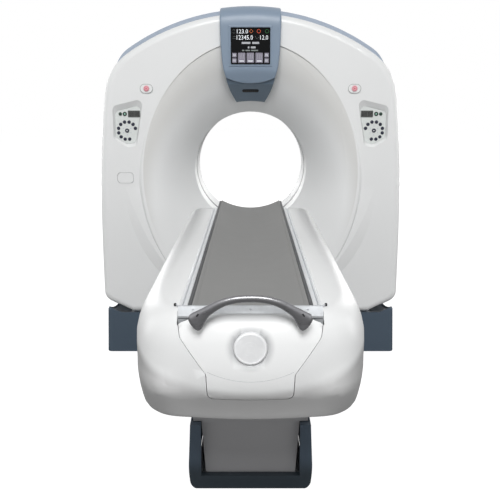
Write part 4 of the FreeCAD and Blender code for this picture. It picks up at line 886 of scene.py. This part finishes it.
def grab_handle():
    """Flat round arch that widens into two leaf-shaped feet, each with a short stem and a black bar as
    painted shade of its slot.
    """
    edges = [[*edge, *((-x, z) for x, z in reversed(edge[:-1]))] for edge in (HANDLE_OUTER, HANDLE_INNER)]
    outer, inner = (through(edge, 4) for edge in edges)
    corners = 20
    rings = []
    for one, other in zip(outer, inner):
        middle, across = (one + other) / 2, (one - other) / 2
        deep = HANDLE_DEPTH * math.sqrt(min(1.0, across.length / HANDLE_DEPTH))
        ring = []
        for j in range(corners):
            angle = math.tau * j / corners
            reach = middle + across * math.cos(angle)
            ring.append(Vector((reach.x, HANDLE_PLANE + deep * math.sin(angle), reach.y)))
        rings.append(ring)
    handle = Piece("handle_arch", "table", "rail_aluminium").add(lofted(rings), HANDLE_METAL)
    stem = ((0, 0.0), (0.0135, 0.0), (0.0140, 0.002), (0.0140, 0.040), (0, 0.040))
    slot_half_length = 0.0046
    for sign in (-1, 1):
        handle.add(turned(stem, (sign * 0.151, HANDLE_PLANE, 0.941), (0, 1, 0), 24), HANDLE_METAL)
        # the black bar on each foot is painted shade, standing in for the dark inside the foot's slot
        slope = Vector((-sign * 0.60, 0, 0.80)) * slot_half_length
        slot = Vector((sign * 0.1475, HANDLE_PLANE - 0.0086, 0.9655))
        handle.add(bar([slot - slope, slot + slope], 0.0024, 10), SLOT_BLACK)
    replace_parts(handle.place(), "grab_handle")


def end_cover_details():
    """The crease low on the table's end cover, and the rim and rings of its disc."""
    half_width, lowest, rise = 0.1235, 0.7635, 0.0265
    crease = Piece("end_cover_crease", "table", "white_cover")
    curve = [(half_width * s, lowest + rise * s * s) for s in (i / 12 for i in range(-12, 13))]
    path = [p + Vector((0, 0.0002, 0)) for p in along_surface("table_end_cover", curve)]
    crease.add(bar(path, 0.0007, 6), SEAM_GREY)
    crease.place()

    rim = Piece("badge_rim", "table", "badge_grey")
    rim.add(washer(0, BADGE_HEIGHT, 0.0405, 0.0440, 0.0010, BADGE_FRONT), RIM_WHITE)
    for radius in (0.010, 0.020, 0.030):
        ring = washer(0, BADGE_HEIGHT, radius, radius + 0.0010, 0.0004, BADGE_FRONT)
        rim.add(ring, FINISHES["badge_grey"])
    rim.place()


def rail_details():
    """A locking pin with its arm and a stop at the foot of each rail, and the end plate's screws."""
    pin_y = -2.615
    knob = ((0, -0.004), (0.0040, -0.004), (0.0040, 0.009), (0.0030, 0.0108), (0, 0.0112))
    pins = Piece("rail_pins", "table", "motor_black")
    for sign in (-1, 1):
        pins.add(turned(knob, (sign * 0.2235, pin_y, 0.9505), (0, 0, 1), 20), BLACK)
        arm = [(sign * 0.2225, pin_y, 0.957), (sign * 0.204, pin_y - 0.025, 0.9585)]
        pins.add(bar(arm, 0.0020, 8), STEEL)
        stop = rounded(sign * 0.1995, 0.9555, 0.0120, 0.0048, 0.001, 2)
        pins.add(plate(stop, -2.6735, -2.6675), BLACK)
    pins.place()

    screws = Piece("end_plate_screws", "table", "bare_steel")
    plate_y, plate_z, outwards = -2.6843, 0.9640, (0, -0.959, 0.284)
    for x in (-0.165, 0.0, 0.165):
        screws.add(screw_head((x, plate_y, plate_z), outwards, 0.0034), STEEL)
    screws.place()


TROUGH_RADIUS, TROUGH_CENTRE = 0.35034, 1.26734  # of the cradle's hollow, and its centre's height
PAD_HALF, PAD_THICKNESS, PAD_ROLL = 0.171, 0.0080, 0.0042  # half width, and radius of its edges
SEAM, SEAM_HALF, SEAM_DEPTH = PAD_HALF - 0.0125, 0.0012, 0.0009  # its place, half width and depth
# distances from an edge at which the pad's rounding has a row of points
EDGE_STEPS = [PAD_ROLL * (1 - math.cos(math.radians(15 * i))) for i in range(7)]


def pad_columns():
    """Places across the pad, closer together at its edges and its seams."""
    inner_seam = -SEAM + SEAM_HALF
    left = [-PAD_HALF + step for step in EDGE_STEPS]
    left += [-SEAM - SEAM_HALF, -SEAM, inner_seam]
    left += [inner_seam * (1 - i / 13) for i in range(1, 13)]
    return left + [0.0] + [-x for x in reversed(left)]


def pad_rows(start, end):
    """Places along the pad, closer together at its ends."""
    length = end - start - 2 * PAD_ROLL
    rows = [start + step for step in EDGE_STEPS]
    rows += [start + PAD_ROLL + length * i / 90 for i in range(1, 90)]
    return rows + [end - step for step in reversed(EDGE_STEPS)]


def cradle_pad():
    """The mat in the cradle's trough: an even foam sheet with round edges and a welded seam near them."""
    low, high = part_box("cradle_mat")
    start, end = low.y, high.y
    clearance, crown = 0.00015, 0.0006

    def edge_share(distance):
        """Share of the thickness at a distance from an edge."""
        near = max(0.0, 1 - distance / PAD_ROLL)
        return math.sqrt(max(0.0, 1 - near * near))

    def point(x, y, side):
        """A point of the pad's upper or lower skin; x is measured across the trough."""
        share = min(edge_share(PAD_HALF - abs(x)), edge_share(y - start), edge_share(end - y))
        lift = clearance + PAD_THICKNESS / 2 + side * (PAD_THICKNESS / 2) * share
        if side > 0:
            groove = SEAM_DEPTH * math.exp(-((abs(x) - SEAM) / SEAM_HALF) ** 2)
            lift += (crown * (1 - (x / PAD_HALF) ** 2) - groove) * share
        angle = math.asin(x / (TROUGH_RADIUS - PAD_THICKNESS / 2))
        reach = TROUGH_RADIUS - lift
        return Vector((reach * math.sin(angle), y, TROUGH_CENTRE - reach * math.cos(angle)))

    columns, rows = pad_columns(), pad_rows(start, end)
    wide, upper = len(columns), len(columns) * len(rows)
    points = [point(x, y, side) for side in (1, -1) for y in rows for x in columns]
    faces = []
    for j in range(len(rows) - 1):
        for i in range(wide - 1):
            corner = j * wide + i
            quad = (corner, corner + 1, corner + wide + 1, corner + wide)
            faces += [quad, tuple(upper + k for k in reversed(quad))]
    pad = Piece("cradle_pad", "cradle", "mat_grey").add((points, faces), FINISHES["mat_grey"]).place()
    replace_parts(pad, "cradle_mat")


# ---- covers, base and rear

def side_screws(side, sign):
    """Screws of a side cover, and of the base covers below it."""
    for row, y in (("front", -0.285), ("rear", 0.285)):
        screws = Piece(f"side_screws_{side}_{row}", "gantry", "bare_steel")
        for z in (0.42, 0.78, 1.14):
            place = meets("side_cover_" + side, (sign * 2.0, y, z), (-sign, 0, 0))
            screws.add(screw_head(place, (sign, 0, 0), 0.0055), STEEL)
        screws.place()
    screws = Piece("base_screws_" + side, "floor_frame", "bare_steel")
    for node, places in (("base_cover_front", (-0.33, -0.10)), ("base_cover_rear", (0.10, 0.33))):
        for y in places:
            place = meets(node, (sign * 2.0, y, 0.10), (-sign, 0, 0))
            screws.add(screw_head(place, (sign, 0, 0.04), 0.0065), STEEL)
    screws.place()


def rear_details():
    """Screws round the rear funnel, and the louvred air vent under it."""
    ring_radius, ring_count, rear_face = 0.585, 8, 0.470
    head = screw_head((0, rear_face, BORE_HEIGHT + ring_radius), (0, 1, 0), 0.0055)
    repeated("rear_ring_screws", head, "gantry", "bare_steel", STEEL, ring_count,
             turn=math.tau / ring_count, centre=(0, 0, BORE_HEIGHT))

    vent_height, vent_plane = 0.405, 0.4735
    opening = rounded(0, vent_height, 0.640, 0.150, 0.018)
    vent = Piece("rear_vent_frame", "gantry", "panel_grey")
    vent.add(plate(opening, vent_plane, vent_plane - 0.004, 0.0015), FINISHES["panel_grey"])
    for x in (-0.305, 0.305):
        for rise in (-0.060, 0.060):
            vent.add(screw_head((x, vent_plane, vent_height + rise), (0, 1, 0), 0.0045), STEEL)
    vent.place()
    fin_count, fin_pitch = 12, 0.0105
    lowest = rounded(0, vent_height - 0.0575, 0.560, 0.0060, 0.0029, 3)
    fin = plate(lowest, vent_plane + 0.003, vent_plane - 0.0005, 0.001)
    repeated("rear_vent_louvres", fin, "gantry", "motor_black", BLACK, fin_count, (0, 0, fin_pitch))


def duct_screws(side, sign):
    """A row of screws along the cable duct's sloping side."""
    count, pitch = 4, 0.155
    head = screw_head((sign * 0.112, -0.96, 0.0312), (sign * 0.866, 0, 0.5), 0.0045)
    repeated("duct_screws_" + side, head, "floor_frame", "bare_steel", STEEL, count, (0, pitch, 0))


smoothed("table_shell", fuller_corner)
smoothed("table_end_cover")
display_picture()
display_surround()
for label, toward in SIDES:
    keypad_keys(label, toward)
    stop_details(label, toward)
grab_handle()
end_cover_details()
rail_details()
cradle_pad()
for label, toward in SIDES:
    side_screws(label, toward)
rear_details()
for label, toward in SIDES:
    duct_screws(label, toward)


# ---- studio

def white_floor():
    """A floor that keeps the object's shadow, looks white to the camera and throws little light back."""
    bpy.ops.mesh.primitive_plane_add(size=60, location=(0, 0, -0.002))
    floor = bpy.context.object
    floor.name = "floor"
    material = bpy.data.materials.new("floor_white")
    material.use_nodes = True
    tree = material.node_tree
    link = tree.links.new
    shader = tree.nodes["Principled BSDF"]
    shader.inputs["Base Color"].default_value = (0.30, 0.30, 0.30, 1)
    shader.inputs["Roughness"].default_value = 0.9
    rays = tree.nodes.new("ShaderNodeLightPath")
    glow = tree.nodes.new("ShaderNodeEmission")
    glow.inputs["Color"].default_value = (0.91, 0.91, 0.91, 1)
    shadow = tree.nodes.new("ShaderNodeBsdfDiffuse")
    shadow.inputs["Color"].default_value = (0.36, 0.36, 0.36, 1)
    white = tree.nodes.new("ShaderNodeAddShader")
    link(glow.outputs["Emission"], white.inputs[0])
    link(shadow.outputs["BSDF"], white.inputs[1])
    mix = tree.nodes.new("ShaderNodeMixShader")
    link(rays.outputs["Is Camera Ray"], mix.inputs["Fac"])
    link(shader.outputs["BSDF"], mix.inputs[1])
    link(white.outputs["Shader"], mix.inputs[2])
    link(mix.outputs["Shader"], tree.nodes["Material Output"].inputs["Surface"])
    paint(floor, material)


def surroundings():
    """White all round for what the camera sees and what gloss reflects, and a dimmer light from it."""
    world = bpy.data.worlds.new("studio")
    bpy.context.scene.world = world
    world.use_nodes = True
    tree = world.node_tree
    background = tree.nodes["Background"]
    rays = tree.nodes.new("ShaderNodeLightPath")
    seen = arithmetic(tree, "MAXIMUM", rays.outputs["Is Camera Ray"], rays.outputs["Is Glossy Ray"])
    seen = arithmetic(tree, "MAXIMUM", seen, rays.outputs["Is Transmission Ray"])
    strength = tree.nodes.new("ShaderNodeMapRange")
    strength.inputs["To Min"].default_value = 0.24
    strength.inputs["To Max"].default_value = 1.0
    tree.links.new(seen, strength.inputs["Value"])
    tree.links.new(strength.outputs["Result"], background.inputs["Strength"])
    background.inputs["Color"].default_value = (1, 1, 1, 1)


def lamps():
    """One broad lamp above the front, and weaker pairs at the front, the sides and the rear."""
    aim = Vector((0, -0.8, 0.9))
    pairs = (("fill", (3.2, -5.2, 1.5), 2.6, 18), ("side", (6.0, 0.6, 1.6), 3.0, 62),
             ("rear", (3.6, 7.6, 1.6), 3.0, 170))  # name, place, size and power
    placed = [("key", (0, -9.6, 8.6), 5.0, 985)]
    for pair, (x, y, z), size, power in pairs:
        placed += [(f"{pair}_{side}", (sign * x, y, z), size, power) for side, sign in SIDES]
    for name, place, size, power in placed:
        light = bpy.data.lights.new(name, "AREA")
        light.size = size
        light.energy = power
        lamp = bpy.data.objects.new(name, light)
        lamp.location = place
        lamp.rotation_euler = (aim - Vector(place)).to_track_quat("-Z", "Y").to_euler()
        bpy.context.scene.collection.objects.link(lamp)


def camera():
    """The photograph's viewpoint: at eye height in front of the table's foot, looking slightly down."""
    picture_px, focal_px, shift_px = 500.0, 700.0, -0.5
    eye, downwards = (0, -4.61, 1.55), math.radians(12.095)
    data = bpy.data.cameras.new("camera")
    data.sensor_width = 36.0
    data.lens = data.sensor_width * focal_px / picture_px
    data.shift_x = shift_px / picture_px
    seen_from = bpy.data.objects.new("camera", data)
    seen_from.location = eye
    seen_from.rotation_euler = (math.radians(90) - downwards, 0, 0)
    bpy.context.scene.collection.objects.link(seen_from)
    bpy.context.scene.camera = seen_from


white_floor()
surroundings()
lamps()
camera()
bpy.context.scene.view_settings.view_transform = "Standard"
